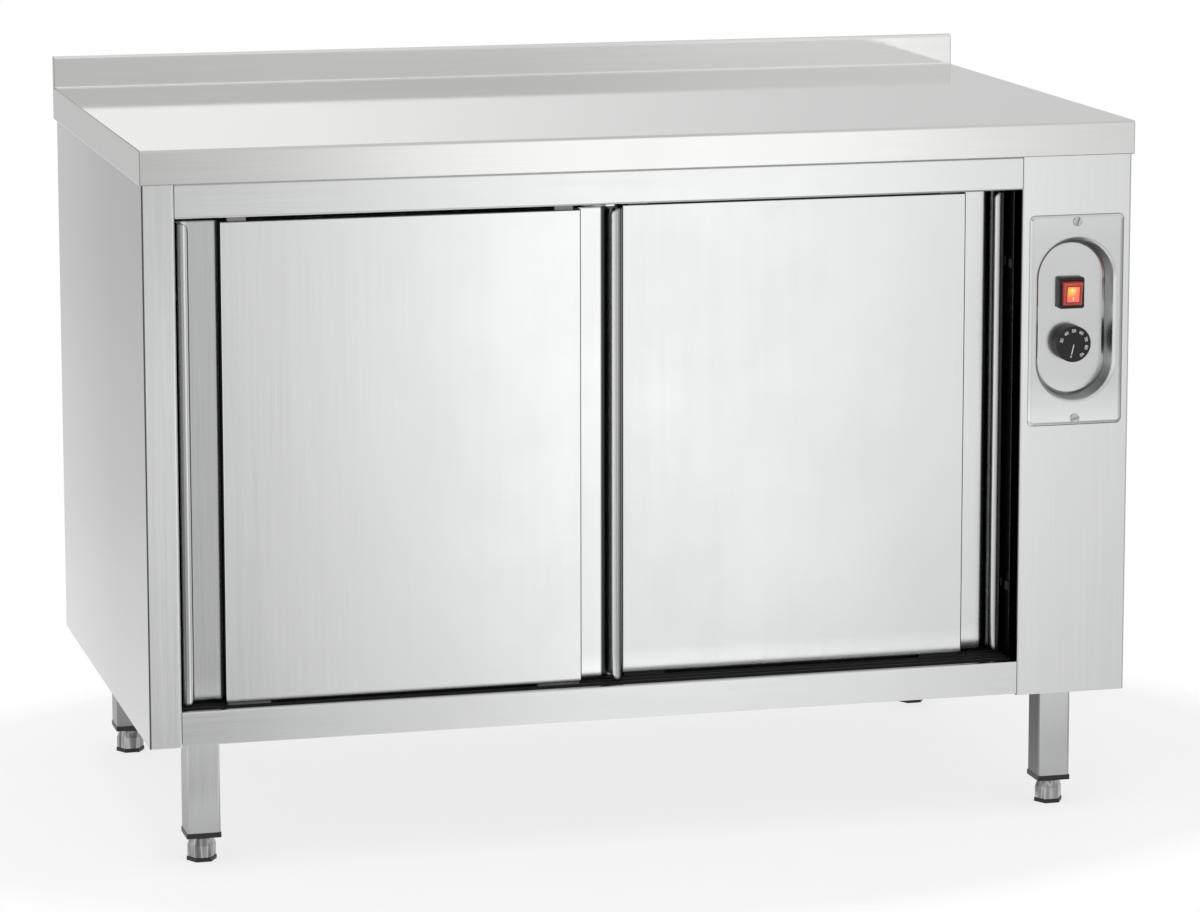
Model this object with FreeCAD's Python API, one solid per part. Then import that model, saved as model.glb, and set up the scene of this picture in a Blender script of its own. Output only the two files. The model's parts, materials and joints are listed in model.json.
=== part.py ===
import FreeCAD, Part
import math
import os

# Plate warmer cabinet of folded stainless steel with two top-hung sliding doors.
# Millimetres. X runs to the right, Y to the back and Z up.
# The origin is on the floor, under the middle of the worktop.

# Worktop with its upstand
width = 1200.0
depth = 700.0
worktop_height = 850.0
worktop_sheet = 1.2
worktop_skirt = 40.0
worktop_lip = 20.0
worktop_bend = 2.0
upstand_height = 40.0
upstand_thickness = 12.0
relief_notch = 3.0
stiffener_width = 60.0
stiffener_height = 24.0
stiffener_flange = 18.0
stiffener_end_gap = 25.0
stiffener_place_shares = (0.3, 0.66)

# Outer body
panel_sheet = 1.0
panel_bend = 1.5
side_overhang = 2.0
front_overhang = 3.0
rear_overhang = 15.0
body_clearance = 153.0
rail_lift = 2.0
tray_lift = 4.0
post_width = 38.0
control_width = 138.0
jamb_return = 30.0
rear_return = 20.0
edge_flange = 20.0
foot_flange = 15.0
slot_clearance = 0.3
rail_height = 40.0
rail_hem = 12.0
tray_height = 15.0

# Bottom rail and the ledge behind it
ledge_lip = 8.0
ledge_drop = 8.0
ledge_overlap = 14.0

# Cavity
floor_above_ledge = 5.0
ceiling_gap = 2.0
cavity_rear_wall = 31.0
lining_flange = 15.0
ceiling_flange = 38.0

# Doors
door_overlap = 43.0
door_top_gap = 8.0
door_bottom_gap = 2.0
front_door_setback = 25.0
door_spacing = 28.0
left_end_gap = 6.0
right_end_gap = 3.0
door_sheet = 1.0
panel_depth = 19.0
panel_margin = 50.0
panel_edge = 1.5
panel_flange = 10.0
grip_width = 13.5
grip_proud = 2.0
grip_hem = 8.0
grip_bend = 5.0
grip_corner = 10.0

# Door hangers, rollers and their track
hanger_inset = 70.0
hanger_width = 22.0
hanger_sheet = 2.0
hanger_height = 28.0
hanger_setback = 4.0
roller_radius = 11.0
roller_width = 8.0
roller_side_gap = 1.0
axle_radius = 3.0
axle_end = 0.5
running_clearance = 0.05
body_gap = 0.3
track_wall = 1.5
track_side_gap = 1.0
track_lead = 2.0

# Door guides and buffers
shoe_inset = 78.0
shoe_length = 50.0
shoe_width = 12.0
shoe_setback = 2.0
groove_clearance = 0.5
guide_wall = 1.5
guide_rib = 7.0
shoe_floor_gap = 1.0
buffer_size = 10.0
buffer_place_shares = (0.15, 0.85)

# Legs and feet
leg_size = 40.0
leg_wall = 1.5
leg_corner = 3.0
leg_inset = 50.0
leg_plate = 80.0
leg_plate_sheet = 3.0
cap_height = 6.0
cap_proud = 0.4
cap_plug = 24.0
cap_clearance = 0.2
foot_height = 30.0
foot_flats = 29.5
foot_top_flats = 23.0
foot_cone_share = 0.36
foot_pad_height = 4.5
foot_pad_proud = 0.8
stud_radius = 4.95
stud_length = 62.0

# Shelf with its uprights and clips
shelf_height = 470.0
shelf_edge = 26.0
shelf_lip = 15.0
shelf_side_gap = 2.0
shelf_front_gap = 26.0
shelf_rear_gap = 13.0
upright_depth = 10.0
upright_width = 22.0
upright_sheet = 1.5
upright_head_gap = 36.0
upright_start = 20.0
upright_setback = 60.0
slot_pitch = 65.0
slot_width = 9.0
slot_height = 5.0
slot_first = 26.0
clip_reach = 20.0
clip_width = 16.0
clip_tongue = 6.0
clip_clearance = 0.2

# Control plate with its pressed recess
plate_width = 120.0
plate_height = 256.0
plate_drop = 71.0
plate_thickness = 2.0
plate_bevel = 4.0
plate_corner = 7.0
recess_width = 95.0
recess_height = 195.0
recess_depth = 24.0
recess_draft = 4.0
recess_wall = 1.2
recess_step = 3.0
recess_step_depth = 3.0
recess_floor_step = 2.5
cutout_clearance = 2.0

# Rocker switch
bezel_width = 32.0
bezel_height = 38.0
bezel_rise = 8.0
bezel_corner = 3.0
switch_rise = 30.5
switch_body_width = 27.4
switch_body_height = 33.4
switch_body_depth = 25.0
switch_cut_gap = 0.3
rocker_width = 24.0
rocker_height = 27.4
rocker_side_gap = 0.3
rocker_end_gap = 1.3
rocker_front = 8.5
rocker_dip = 1.2
rocker_back = 6.0
rocker_tail = 11.0
rocker_tail_share = 0.58
rocker_edge = 1.5
rocker_tilt = 8.0
rocker_pivot_depth = 2.0
rocker_pin_radius = 1.5
rocker_pin_length = 0.8
rocker_well = 21.0
terminal_width = 6.3
terminal_sheet = 0.8
terminal_length = 9.0

# Thermostat and its knob
knob_drop = 30.5
knob_radius = 22.0
knob_height = 17.5
knob_edge = 1.5
knob_wall = 2.5
knob_floor_gap = 0.5
shaft_radius = 3.0
shaft_hole_radius = 4.0
shaft_bore_depth = 22.0
thermostat_width = 34.0
thermostat_depth = 40.0
capillary_size = 2.0
capillary_bend = 18.0
bulb_radius = 3.0
bulb_length = 80.0
bulb_wall_gap = 5.0
capillary_hole_radius = 2.0
capillary_back = 125.0

# Fan heater
heater_width = 280.0
heater_height = 220.0
heater_depth = 90.0
heater_bottom = 75.0
heater_place_share = 0.58
heater_flange = 12.0
element_width = 190.0
element_tube = 8.0
element_bend = 20.0
element_gap = 70.0
element_setback = 38.0
element_post_radius = 3.0
element_terminal = 12.0
impeller_radius = 75.0
impeller_depth = 24.0
impeller_hub = 12.0
impeller_sheet = 1.2
impeller_eye = 32.0
impeller_wall_gap = 21.0
blade_count = 8
motor_width = 60.0
motor_stack = 26.0
motor_length = 34.0
motor_end_share = 0.55
motor_shaft_radius = 3.0
motor_bore = 24.0
motor_collar_radius = 10.0
motor_collar = 6.0
shaft_tip = 4.0
air_slot_width = 12.0
air_slot_length = 70.0
air_slot_pitch = 30.0
air_slot_rows = 6
air_slot_column_shares = (-0.3, 0.3)

# Mains entry and wiring
gland_rise = 33.0
gland_bore_radius = 4.5
gland_thread_radius = 8.0
gland_thread_length = 16.0
gland_hex_flats = 24.0
gland_hex_height = 6.0
gland_cap_flats = 19.0
gland_cap_length = 7.0
gland_nut_height = 5.0
gland_hole_clearance = 0.15
block_width = 60.0
block_depth = 22.0
block_height = 20.0
block_setback = 62.0
block_ways = 6
block_hole = 3.6
block_hole_depth = 8.0
cable_width = 5.0
cable_thickness = 2.5
cable_bend = 12.0
cable_turn = 35.0

# Shared by all cuts and turns
overrun = 5.0
full_turn = 360.0

# Places worked out from the sizes above
left = -width / 2
right = width / 2
front = -depth / 2
back = depth / 2
body_left = left + side_overhang
body_right = right - side_overhang
body_front = front + front_overhang
body_rear = back - rear_overhang
body_top = worktop_height - worktop_skirt
tray_floor = body_clearance + tray_lift
tray_top = tray_floor + panel_sheet
rail_bottom = body_clearance + rail_lift
opening_left = body_left + post_width
opening_right = body_right - control_width
opening_bottom = rail_bottom + rail_height
opening_top = body_top - rail_height
jamb_end = body_front + jamb_return
rear_inside = body_rear - panel_sheet - panel_sheet
tray_rear = rear_inside - panel_sheet
ledge_top = opening_bottom - ledge_drop
floor_top = ledge_top + floor_above_ledge
ceiling_bottom = opening_top - ceiling_gap
cavity_rear = rear_inside - cavity_rear_wall + panel_sheet
door_bottom = opening_bottom + door_bottom_gap
door_top = opening_top - door_top_gap
left_door_front = body_front + front_door_setback
right_door_front = left_door_front + door_spacing
door_run = opening_right - opening_left - left_end_gap - right_end_gap
door_width = (door_run + door_overlap) / 2
left_door_x = opening_left + left_end_gap
right_door_x = opening_right - right_end_gap - door_width
hanger_plate_y = hanger_setback + hanger_sheet
roller_y = hanger_plate_y + roller_side_gap
track_leg_y = roller_y + roller_width + track_side_gap + track_wall / 2
track_rear = right_door_front + track_leg_y + track_wall
rail_top_end = track_rear + foot_flange / 2
roller_bottom = opening_top + track_wall + body_gap
roller_height = roller_bottom + roller_radius
ledge_rear = track_rear + ledge_overlap
cap_bottom = foot_height
leg_bottom = foot_height + cap_height
control_x = (opening_right + body_right) / 2
plate_z = body_top - plate_drop - plate_height / 2
plate_front = body_front - plate_thickness
recess_floor = plate_front + recess_depth
switch_z = plate_z + switch_rise
knob_z = plate_z - knob_drop
bezel_front = recess_floor - bezel_rise
rocker_pivot_y = bezel_front + rocker_pivot_depth
partition_right = opening_right + panel_sheet
heater_right = partition_right + heater_depth
heater_z = tray_top + heater_bottom + heater_height / 2
heater_y = cavity_rear - (cavity_rear - track_rear) * (1 - heater_place_share)
impeller_back = heater_right - panel_sheet - impeller_wall_gap
impeller_front = impeller_back - impeller_depth
leg_left = body_left + leg_inset
leg_right = body_right - leg_inset - leg_size
leg_front = body_front + leg_inset
leg_rear = body_rear - leg_inset - leg_size
leg_places = {
    "front_left": (leg_left, leg_front),
    "front_right": (leg_right, leg_front),
    "rear_left": (leg_left, leg_rear),
    "rear_right": (leg_right, leg_rear),
}
shelf_left = opening_left + upright_depth + shelf_side_gap
shelf_right = opening_right - upright_depth - shelf_side_gap
shelf_front = track_rear + shelf_front_gap
shelf_rear = cavity_rear - shelf_rear_gap
shelf_bottom = shelf_height - shelf_edge
upright_bottom = floor_top + upright_start
upright_places = (shelf_front + upright_setback, shelf_rear - upright_setback - upright_width)
gland_x = control_x
gland_height = tray_floor + tray_height + gland_rise

# Axes
X = FreeCAD.Vector(1, 0, 0)
Y = FreeCAD.Vector(0, 1, 0)
Z = FreeCAD.Vector(0, 0, 1)


def block(x0, x1, y0, y1, z0, z1):
    corner = FreeCAD.Vector(min(x0, x1), min(y0, y1), min(z0, z1))
    return Part.makeBox(abs(x1 - x0), abs(y1 - y0), abs(z1 - z0), corner)


def rod(radius, start, end):
    start = FreeCAD.Vector(*start)
    end = FreeCAD.Vector(*end)
    return Part.makeCylinder(radius, (end - start).Length, start, end - start)


def fused(shapes):
    return shapes[0].multiFuse(list(shapes[1:])).removeSplitter()


def on_plane(plane, u, v, w):
    if plane == "XY":
        return FreeCAD.Vector(u, v, w)
    if plane == "YZ":
        return FreeCAD.Vector(w, u, v)
    return FreeCAD.Vector(u, w, v)


def plane_normal(plane):
    return {"XY": Z, "YZ": X, "XZ": Y}[plane]


def unit(a, b):
    length = math.hypot(b[0] - a[0], b[1] - a[1])
    return ((b[0] - a[0]) / length, (b[1] - a[1]) / length)


def corner_arc(before, corner, after, radius):
    """Tangent points and middle of the arc that rounds a corner, and its centre."""
    d1 = unit(before, corner)
    d2 = unit(corner, after)
    turn = math.atan2(d1[0] * d2[1] - d1[1] * d2[0], d1[0] * d2[0] + d1[1] * d2[1])
    reach = radius * math.tan(abs(turn) / 2)
    start = (corner[0] - d1[0] * reach, corner[1] - d1[1] * reach)
    end = (corner[0] + d2[0] * reach, corner[1] + d2[1] * reach)
    hand = math.copysign(1, turn)
    centre = (start[0] - d1[1] * radius * hand, start[1] + d1[0] * radius * hand)
    out = unit(centre, corner)
    middle = (centre[0] + out[0] * radius, centre[1] + out[1] * radius)
    return start, middle, end, centre, out, hand


def edges_through(stations, plane, level):
    """Edges of a line whose corners are arcs: each station is a point or three points."""
    edges = []
    last = None
    for station in stations:
        points = [on_plane(plane, u, v, level) for u, v in station]
        if last is not None and last.distanceToPoint(points[0]) > Part.Precision.confusion():
            edges.append(Part.LineSegment(last, points[0]).toShape())
        if len(points) > 1:
            edges.append(Part.Arc(*points).toShape())
        last = points[-1]
    return edges


def beside(point, heading, distance):
    """The point at a distance to the right of a heading."""
    return (point[0] + heading[1] * distance, point[1] - heading[0] * distance)


def folded(points, sheet, bends, side, plane, start, end):
    """A sheet folded along a line of points, its outer face, with the sheet at one side."""
    if not isinstance(bends, (list, tuple)):
        bends = [bends] * (len(points) - 2)
    offset = sheet * side
    near = [[points[0]]]
    far = [[beside(points[0], unit(points[0], points[1]), offset)]]
    for i, bend in enumerate(bends):
        before, corner, after = points[i:i + 3]
        inside = turn_of(before, corner, after) * side < 0
        radius = bend + sheet if inside else bend
        other = bend if inside else bend + sheet
        first, middle, last, centre, out, hand = corner_arc(before, corner, after, radius)
        near.append([first, middle, last])
        far.append([
            beside(first, unit(before, corner), offset),
            (centre[0] + out[0] * other, centre[1] + out[1] * other),
            beside(last, unit(corner, after), offset)])
    near.append([points[-1]])
    far.append([beside(points[-1], unit(points[-2], points[-1]), offset)])
    loop = near + [list(reversed(station)) for station in reversed(far)] + [near[0]]
    wire = Part.Wire(edges_through(loop, plane, start))
    return Part.Face(wire).extrude(plane_normal(plane) * (end - start))


def turn_of(before, corner, after):
    """Positive where a line turns left at its corner."""
    first = unit(before, corner)
    second = unit(corner, after)
    return first[0] * second[1] - first[1] * second[0]


def rounded_wire(points, radii, plane, level):
    """A closed outline with rounded corners."""
    if not isinstance(radii, (list, tuple)):
        radii = [radii] * len(points)
    loop = []
    count = len(points)
    for i, radius in enumerate(radii):
        before = points[i - 1]
        after = points[(i + 1) % count]
        if radius:
            loop.append(list(corner_arc(before, points[i], after, radius)[:3]))
        else:
            loop.append([points[i]])
    loop.append([loop[0][0]])
    return Part.Wire(edges_through(loop, plane, level))


def prism(points, radii, plane, start, end):
    face = Part.Face(rounded_wire(points, radii, plane, start))
    return face.extrude(plane_normal(plane) * (end - start))


def rectangle(u, v, wide, high):
    return [
        (u - wide / 2, v - high / 2),
        (u + wide / 2, v - high / 2),
        (u + wide / 2, v + high / 2),
        (u - wide / 2, v + high / 2),
    ]


def hexagon_points(u, v, flats):
    reach = flats / math.sqrt(3)
    sixth = math.pi / 3
    return [(u + reach * math.cos(i * sixth), v + reach * math.sin(i * sixth)) for i in range(6)]


def frustum(base, top, low, high):
    """A solid with flat sides between two outlines of as many points, one above the other."""
    rings = [[FreeCAD.Vector(x, y, z) for x, y in points] for points, z in ((base, low), (top, high))]
    outlines = rings + [
        [rings[0][i - 1], rings[0][i], rings[1][i], rings[1][i - 1]] for i in range(len(base))]
    faces = [Part.Face(Part.makePolygon(outline + outline[:1])) for outline in outlines]
    return Part.makeSolid(Part.makeShell(faces))


def drawn_in(wide, high, corner, inset, start, end):
    """A rounded rectangle round the recess's middle that narrows all round along Y."""
    run = FreeCAD.Vector(0, end - start, 0)
    across = wide / 2 - corner
    up = high / 2 - corner
    pieces = []
    for x in sorted({control_x - across, control_x + across}):
        for z in (plate_z - up, plate_z + up):
            place = FreeCAD.Vector(x, start, z)
            if inset:
                pieces.append(Part.makeCone(corner, corner - inset, run.Length, place, run))
            else:
                pieces.append(Part.makeCylinder(corner, run.Length, place, run))
    half = wide / 2
    upright = [(-half, start), (half, start), (half - inset, end), (inset - half, end)]
    pieces.append(prism([(control_x + u, v) for u, v in upright], 0, "XY", plate_z - up, plate_z + up))
    if across:
        half = high / 2
        level = [(start, -half), (start, half), (end, half - inset), (end, inset - half)]
        pieces.append(prism([(u, plate_z + v) for u, v in level], 0, "YZ", control_x - across, control_x + across))
    return fused(pieces)


def fillet_near(shape, radius, test):
    """Round the edges whose middles pass a test."""
    chosen = [edge for edge in shape.Edges if test(edge.BoundBox.Center)]
    return shape.makeFillet(radius, chosen)


def same(a, b):
    return abs(a - b) < panel_sheet / 10


def pan(x, y, z, wall, mouth, flange, edge):
    """A box of sheet with one open side, given as an axis and a sign, and an inward flange."""
    axis, sign = mouth
    spans = [list(x), list(y), list(z)]
    outer = block(*spans[0], *spans[1], *spans[2])
    closed = spans[axis][0] if sign > 0 else spans[axis][1]
    if edge:
        outer = fillet_near(outer, edge, lambda c: same(c[axis], closed))
    inner = [[low + wall, high - wall] for low, high in spans]
    hole = [[low + flange, high - flange] for low, high in spans]
    if not flange:
        inner[axis][sign > 0] += sign * (wall + overrun)
    inside = block(*inner[0], *inner[1], *inner[2])
    shell = outer.cut(inside)
    if flange:
        hole[axis] = [inner[axis][0], inner[axis][1]]
        hole[axis][sign > 0] += sign * (wall + overrun)
        shell = shell.cut(block(*hole[0], *hole[1], *hole[2]))
    return shell


def worktop():
    """One folded top: skirts on four sides, a boxed upstand and lips turned in below."""
    top = worktop_height
    sheet = worktop_sheet
    wall = back - upstand_thickness
    crest = top + upstand_height
    outer_bend = worktop_bend + sheet
    outline = [(front, body_top), (front, top), (wall, top), (wall, crest), (back, crest), (back, body_top)]
    outer = prism(outline, [0, outer_bend, worktop_bend, outer_bend, outer_bend, 0], "YZ", left, right)
    low = body_top - overrun
    hollow = [
        (front + sheet, low), (front + sheet, top - sheet), (wall + sheet, top - sheet),
        (wall + sheet, crest - sheet), (back - sheet, crest - sheet), (back - sheet, low),
    ]
    bends = [0, worktop_bend, outer_bend, worktop_bend, worktop_bend, 0]
    shell = outer.cut(prism(hollow, bends, "YZ", left + sheet, right - sheet))
    for side_x in (left, right):
        notch = block(side_x - overrun, side_x + overrun, wall - relief_notch, wall, top - sheet, top)
        inward = math.copysign(relief_notch, -side_x)
        notch = notch.common(block(side_x, side_x + inward, front, back, body_top, crest))
        shell = shell.cut(notch)
    lip = block(left, right, front, back, body_top, body_top + sheet)
    inside = block(
        left + worktop_lip, right - worktop_lip, front + worktop_lip, back - worktop_lip,
        low, top)
    return shell.fuse(lip.cut(inside)).removeSplitter()


def worktop_stiffeners():
    """Hat sections glued under the worktop."""
    top = worktop_height - worktop_sheet
    low = top - stiffener_height
    half = stiffener_width / 2
    hats = []
    for share in stiffener_place_shares:
        y = front + share * depth
        brim = half + stiffener_flange
        inside = half - panel_sheet
        outline = [
            (y - brim, top), (y - inside, top), (y - inside, low + panel_sheet),
            (y + inside, low + panel_sheet), (y + inside, top), (y + brim, top),
            (y + brim, top - panel_sheet), (y + half, top - panel_sheet), (y + half, low),
            (y - half, low), (y - half, top - panel_sheet), (y - brim, top - panel_sheet),
        ]
        hats.append(prism(outline, 0, "YZ", left + stiffener_end_gap, right - stiffener_end_gap))
    return Part.makeCompound(hats)


def side_skin(inner, outer):
    """Front strip, side and rear return of one folded panel, with flanges at top and foot."""
    inward = math.copysign(1, inner - outer)
    line = [
        (inner, jamb_end), (inner, body_front), (outer, body_front),
        (outer, body_rear), (outer + inward * rear_return, body_rear),
    ]
    skin = folded(line, panel_sheet, panel_bend, inward, "XY", body_clearance, body_top)
    inside = outer + inward * panel_sheet
    y0 = body_front + panel_sheet
    y1 = body_rear - panel_sheet
    head = block(inside, outer + inward * edge_flange, y0, y1, body_top - panel_sheet, body_top)
    foot = block(inside, outer + inward * foot_flange, y0, y1, body_clearance,
        body_clearance + panel_sheet)
    return fused([skin, head, foot])


def left_side_panel():
    return side_skin(opening_left, body_left)


def right_side_panel():
    """The right panel carries the wide control front, cut out for the recess."""
    skin = side_skin(opening_right, body_right)
    wide = recess_width + (recess_step + recess_wall + cutout_clearance) * 2
    high = recess_height + (recess_step + recess_wall + cutout_clearance) * 2
    return skin.cut(block(
        control_x - wide / 2, control_x + wide / 2, body_front - overrun, body_front + overrun,
        plate_z - high / 2, plate_z + high / 2))


def rear_panel():
    """Flat back inside the side panels' returns, with the hole for the cable gland."""
    edge = panel_sheet + panel_bend
    panel = block(
        body_left + edge, body_right - edge, rear_inside, rear_inside + panel_sheet, tray_top,
        body_top - panel_sheet)
    hole = rod(
        gland_thread_radius + gland_hole_clearance,
        (gland_x, rear_inside - overrun, gland_height), (gland_x, body_rear, gland_height))
    return panel.cut(hole)


def base_tray():
    """Bottom of the body, a shallow tray with slots for the jambs and open corners."""
    tray = pan(
        (body_left + panel_sheet, body_right - panel_sheet), (body_front + panel_sheet, rear_inside),
        (tray_floor, tray_floor + tray_height), panel_sheet, (2, 1), 0, 0)
    for jamb, outward in ((opening_left, -1), (opening_right, 1)):
        bend = panel_sheet + panel_bend
        tray = tray.cut(block(
            jamb - outward * slot_clearance, jamb + outward * (panel_sheet + slot_clearance),
            body_front, jamb_end + slot_clearance, tray_floor - overrun, tray_floor + tray_height + overrun))
        tray = tray.cut(block(
            jamb, jamb + outward * bend, body_front, body_front + bend,
            tray_floor - overrun, tray_floor + tray_height + overrun))
    for outer, inward in ((body_left, 1), (body_right, -1)):
        for end, into in ((body_front, 1), (rear_inside, -1)):
            tray = tray.cut(block(
                outer, outer + inward * (panel_sheet + panel_bend), end, end + into * (panel_sheet + panel_bend),
                tray_floor - overrun, tray_floor + tray_height + overrun))
    return tray


def front_top_rail():
    line = [
        (body_front + rail_hem, opening_top), (body_front, opening_top),
        (body_front, body_top), (rail_top_end, body_top),
    ]
    return folded(line, panel_sheet, panel_bend, 1, "YZ", opening_left, opening_right)


def front_bottom_rail():
    """Front strip with a lip, and the ledge that carries the door guide."""
    lip_rear = body_front + ledge_lip
    line = [
        (body_front, rail_bottom), (body_front, opening_bottom), (lip_rear, opening_bottom),
        (lip_rear, ledge_top), (ledge_rear, ledge_top),
    ]
    return folded(line, panel_sheet, panel_bend, 1, "YZ", opening_left, opening_right)


def left_inner_wall():
    line = [(opening_left - lining_flange, jamb_end), (opening_left, jamb_end), (opening_left, cavity_rear)]
    return folded(line, panel_sheet, panel_bend, -1, "XY", floor_top, ceiling_bottom)


def air_slots():
    """Two columns of slots for the air from the fan."""
    slots = []
    middle = (air_slot_rows - 1) / 2
    for share in air_slot_column_shares:
        y = heater_y + share * heater_width
        for row in range(air_slot_rows):
            z = heater_z + (row - middle) * air_slot_pitch
            slots.append(block(
                opening_right - overrun, partition_right + overrun, y - air_slot_length / 2,
                y + air_slot_length / 2, z - air_slot_width / 2, z + air_slot_width / 2))
    return slots


def right_inner_wall():
    """Wall between the cavity and the controls, with air slots and the capillary's hole."""
    line = [(opening_right + lining_flange, jamb_end), (opening_right, jamb_end), (opening_right, tray_rear)]
    wall = folded(line, panel_sheet, panel_bend, 1, "XY", tray_top, body_top - panel_sheet * 2)
    hole = rod(
        capillary_hole_radius, (opening_right - overrun, capillary_y(), knob_z),
        (partition_right + overrun, capillary_y(), knob_z))
    return wall.cut([hole] + air_slots())


def rear_inner_wall():
    flange_end = cavity_rear + lining_flange
    face = cavity_rear - panel_sheet
    line = [(opening_left, flange_end), (opening_left, face), (opening_right, face), (opening_right, flange_end)]
    return folded(line, panel_sheet, panel_bend, -1, "XY", floor_top, ceiling_bottom)


def ceiling_panel():
    line = [
        (track_rear, ceiling_bottom + ceiling_flange), (track_rear, ceiling_bottom),
        (cavity_rear, ceiling_bottom),
    ]
    return folded(line, panel_sheet, panel_bend, -1, "YZ", opening_left - panel_sheet, opening_right)


def cabinet_floor():
    line = [(track_rear, ledge_top), (track_rear, floor_top), (cavity_rear, floor_top)]
    return folded(line, panel_sheet, panel_bend, 1, "YZ", opening_left - panel_sheet, opening_right)


def insulation_boards():
    """Boards in the left wall, the back, the base and the top."""
    inner = opening_left - panel_sheet
    under_top = body_top - panel_sheet
    left_board = block(
        body_left + panel_sheet * 2, inner, jamb_end + panel_sheet + panel_bend, tray_rear - panel_sheet,
        tray_top, under_top - panel_sheet)
    rear_board = block(
        opening_left + panel_sheet + panel_bend, opening_right - panel_sheet - panel_bend,
        cavity_rear, tray_rear, tray_top, under_top - panel_sheet * 2)
    floor_board = block(inner, opening_right, ledge_rear, cavity_rear, tray_top, floor_top - panel_sheet)
    top_board = block(
        inner, opening_right, track_rear + panel_sheet + panel_bend, cavity_rear,
        ceiling_bottom + panel_sheet, under_top)
    return Part.makeCompound([left_board, rear_board, floor_board, top_board])


def top_track():
    """Double track: each door's rollers run on a ledge beside the slot for its hangers."""
    under = body_top - panel_sheet
    web = under - track_wall
    ledge = opening_top + track_wall
    first = left_door_front
    line = [(first, under), (track_rear, under)]
    for door_front in (right_door_front, left_door_front):
        leg = door_front + track_leg_y
        edge = door_front + roller_y - track_side_gap / 2
        line += [(leg + track_wall, web)] if door_front == left_door_front else []
        line += [(leg + track_wall, opening_top), (edge, opening_top), (edge, ledge), (leg, ledge), (leg, web)]
    line += [
        (first + track_wall, web), (first + track_wall, opening_top + track_lead),
        (first, opening_top + track_lead),
    ]
    return prism(line, 0, "YZ", opening_left, opening_right)


def bottom_guide():
    """Ribbed strip on the ledge with one groove for each door's shoes."""
    base = ledge_top + guide_wall
    crest = ledge_top + guide_rib
    ribs = []
    for door_front in (left_door_front, right_door_front):
        groove = door_front + shoe_setback - groove_clearance
        groove_end = door_front + shoe_setback + shoe_width + groove_clearance
        ribs += [(groove - guide_wall, groove), (groove_end, groove_end + guide_wall)]
    line = [(ribs[-1][1], ledge_top), (ribs[0][0], ledge_top)]
    for i, (start, end) in enumerate(ribs):
        line += [(start, base)] if i else []
        line += [(start, crest), (end, crest)]
        line += [(end, base)] if i < len(ribs) - 1 else []
    return prism(line, 0, "YZ", opening_left, opening_right)


def door_buffers():
    """Rubber buffers on both jambs, for both doors."""
    buffers = []
    height = door_top - door_bottom
    for door_front in (left_door_front, right_door_front):
        y = door_front + panel_depth / 2
        for share in buffer_place_shares:
            z = door_bottom + share * height
            for jamb, gap in ((opening_left, left_end_gap), (opening_right, -right_end_gap)):
                end = jamb + gap - math.copysign(body_gap, gap)
                buffers.append(block(
                    jamb, end, y - buffer_size / 2, y + buffer_size / 2, z - buffer_size / 2,
                    z + buffer_size / 2))
    return Part.makeCompound(buffers)


def door_panel(x, y):
    """Raised front pan of a door, hollow, with a flange against the shell."""
    return pan(
        (x + panel_margin, x + door_width - panel_margin), (y, y + panel_depth), (door_bottom, door_top),
        door_sheet, (1, 1), panel_flange, panel_edge)


def door_shell(x, y):
    """Back sheet of a door, with both upright edges rolled forward into grips."""
    end = x + door_width
    face = y - grip_proud
    rear = y + panel_depth + door_sheet
    line = [
        (x + grip_width, face + grip_hem), (x + grip_width, face), (x, face), (x, rear),
        (end, rear), (end, face), (end - grip_width, face), (end - grip_width, face + grip_hem),
    ]
    bends = [grip_bend, grip_bend, panel_bend, panel_bend, grip_bend, grip_bend]
    shell = folded(line, door_sheet, bends, 1, "XY", door_bottom, door_top)
    for edge, inward in ((x, 1), (end, -1)):
        for z, up in ((door_bottom, 1), (door_top, -1)):
            tip = edge + inward * grip_width
            corner = block(
                tip - inward * grip_corner, tip + inward * overrun, face - overrun, face + grip_hem + door_sheet,
                z + up * grip_corner, z - up * overrun)
            keep = rod(
                grip_corner, (tip - inward * grip_corner, face - overrun, z + up * grip_corner),
                (tip - inward * grip_corner, face + grip_hem + overrun, z + up * grip_corner))
            shell = shell.cut(corner.cut(keep))
    return shell


def hanger_centres(x):
    return (x + hanger_inset, x + door_width - hanger_inset)


def door_hangers(x, y):
    """Angle brackets on the door's head, each with the axle of its roller."""
    brackets = []
    plate = y + hanger_setback
    top = door_top + hanger_height
    for centre in hanger_centres(x):
        foot = block(
            centre - hanger_width / 2, centre + hanger_width / 2, plate, y + panel_depth - door_sheet,
            door_top, door_top + hanger_sheet)
        upright = block(
            centre - hanger_width / 2, centre + hanger_width / 2, plate, plate + hanger_sheet, door_top, top)
        axle = rod(
            axle_radius, (centre, plate, roller_height),
            (centre, y + roller_y + roller_width + axle_end, roller_height))
        brackets.append(fused([foot, upright, axle]))
    return Part.makeCompound(brackets)


def door_roller(centre, y):
    """Nylon roller with the bore for its axle."""
    start = y + roller_y
    wheel = rod(roller_radius, (centre, start, roller_height), (centre, start + roller_width, roller_height))
    bore = rod(
        axle_radius + running_clearance, (centre, start - overrun, roller_height),
        (centre, start + roller_width + overrun, roller_height))
    return wheel.cut(bore)


def door_guides(x, y):
    """Nylon shoes under the door that run in the guide's groove."""
    shoes = []
    low = ledge_top + guide_wall + shoe_floor_gap
    for centre in (x + shoe_inset, x + door_width - shoe_inset):
        start = y + shoe_setback
        shoes.append(block(
            centre - shoe_length / 2, centre + shoe_length / 2, start, start + shoe_width, low, door_bottom))
    return Part.makeCompound(shoes)


def square_tube(x, y, size, corner, start, end):
    return prism(rectangle(x + leg_size / 2, y + leg_size / 2, size, size), corner, "XY", start, end)


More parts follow.
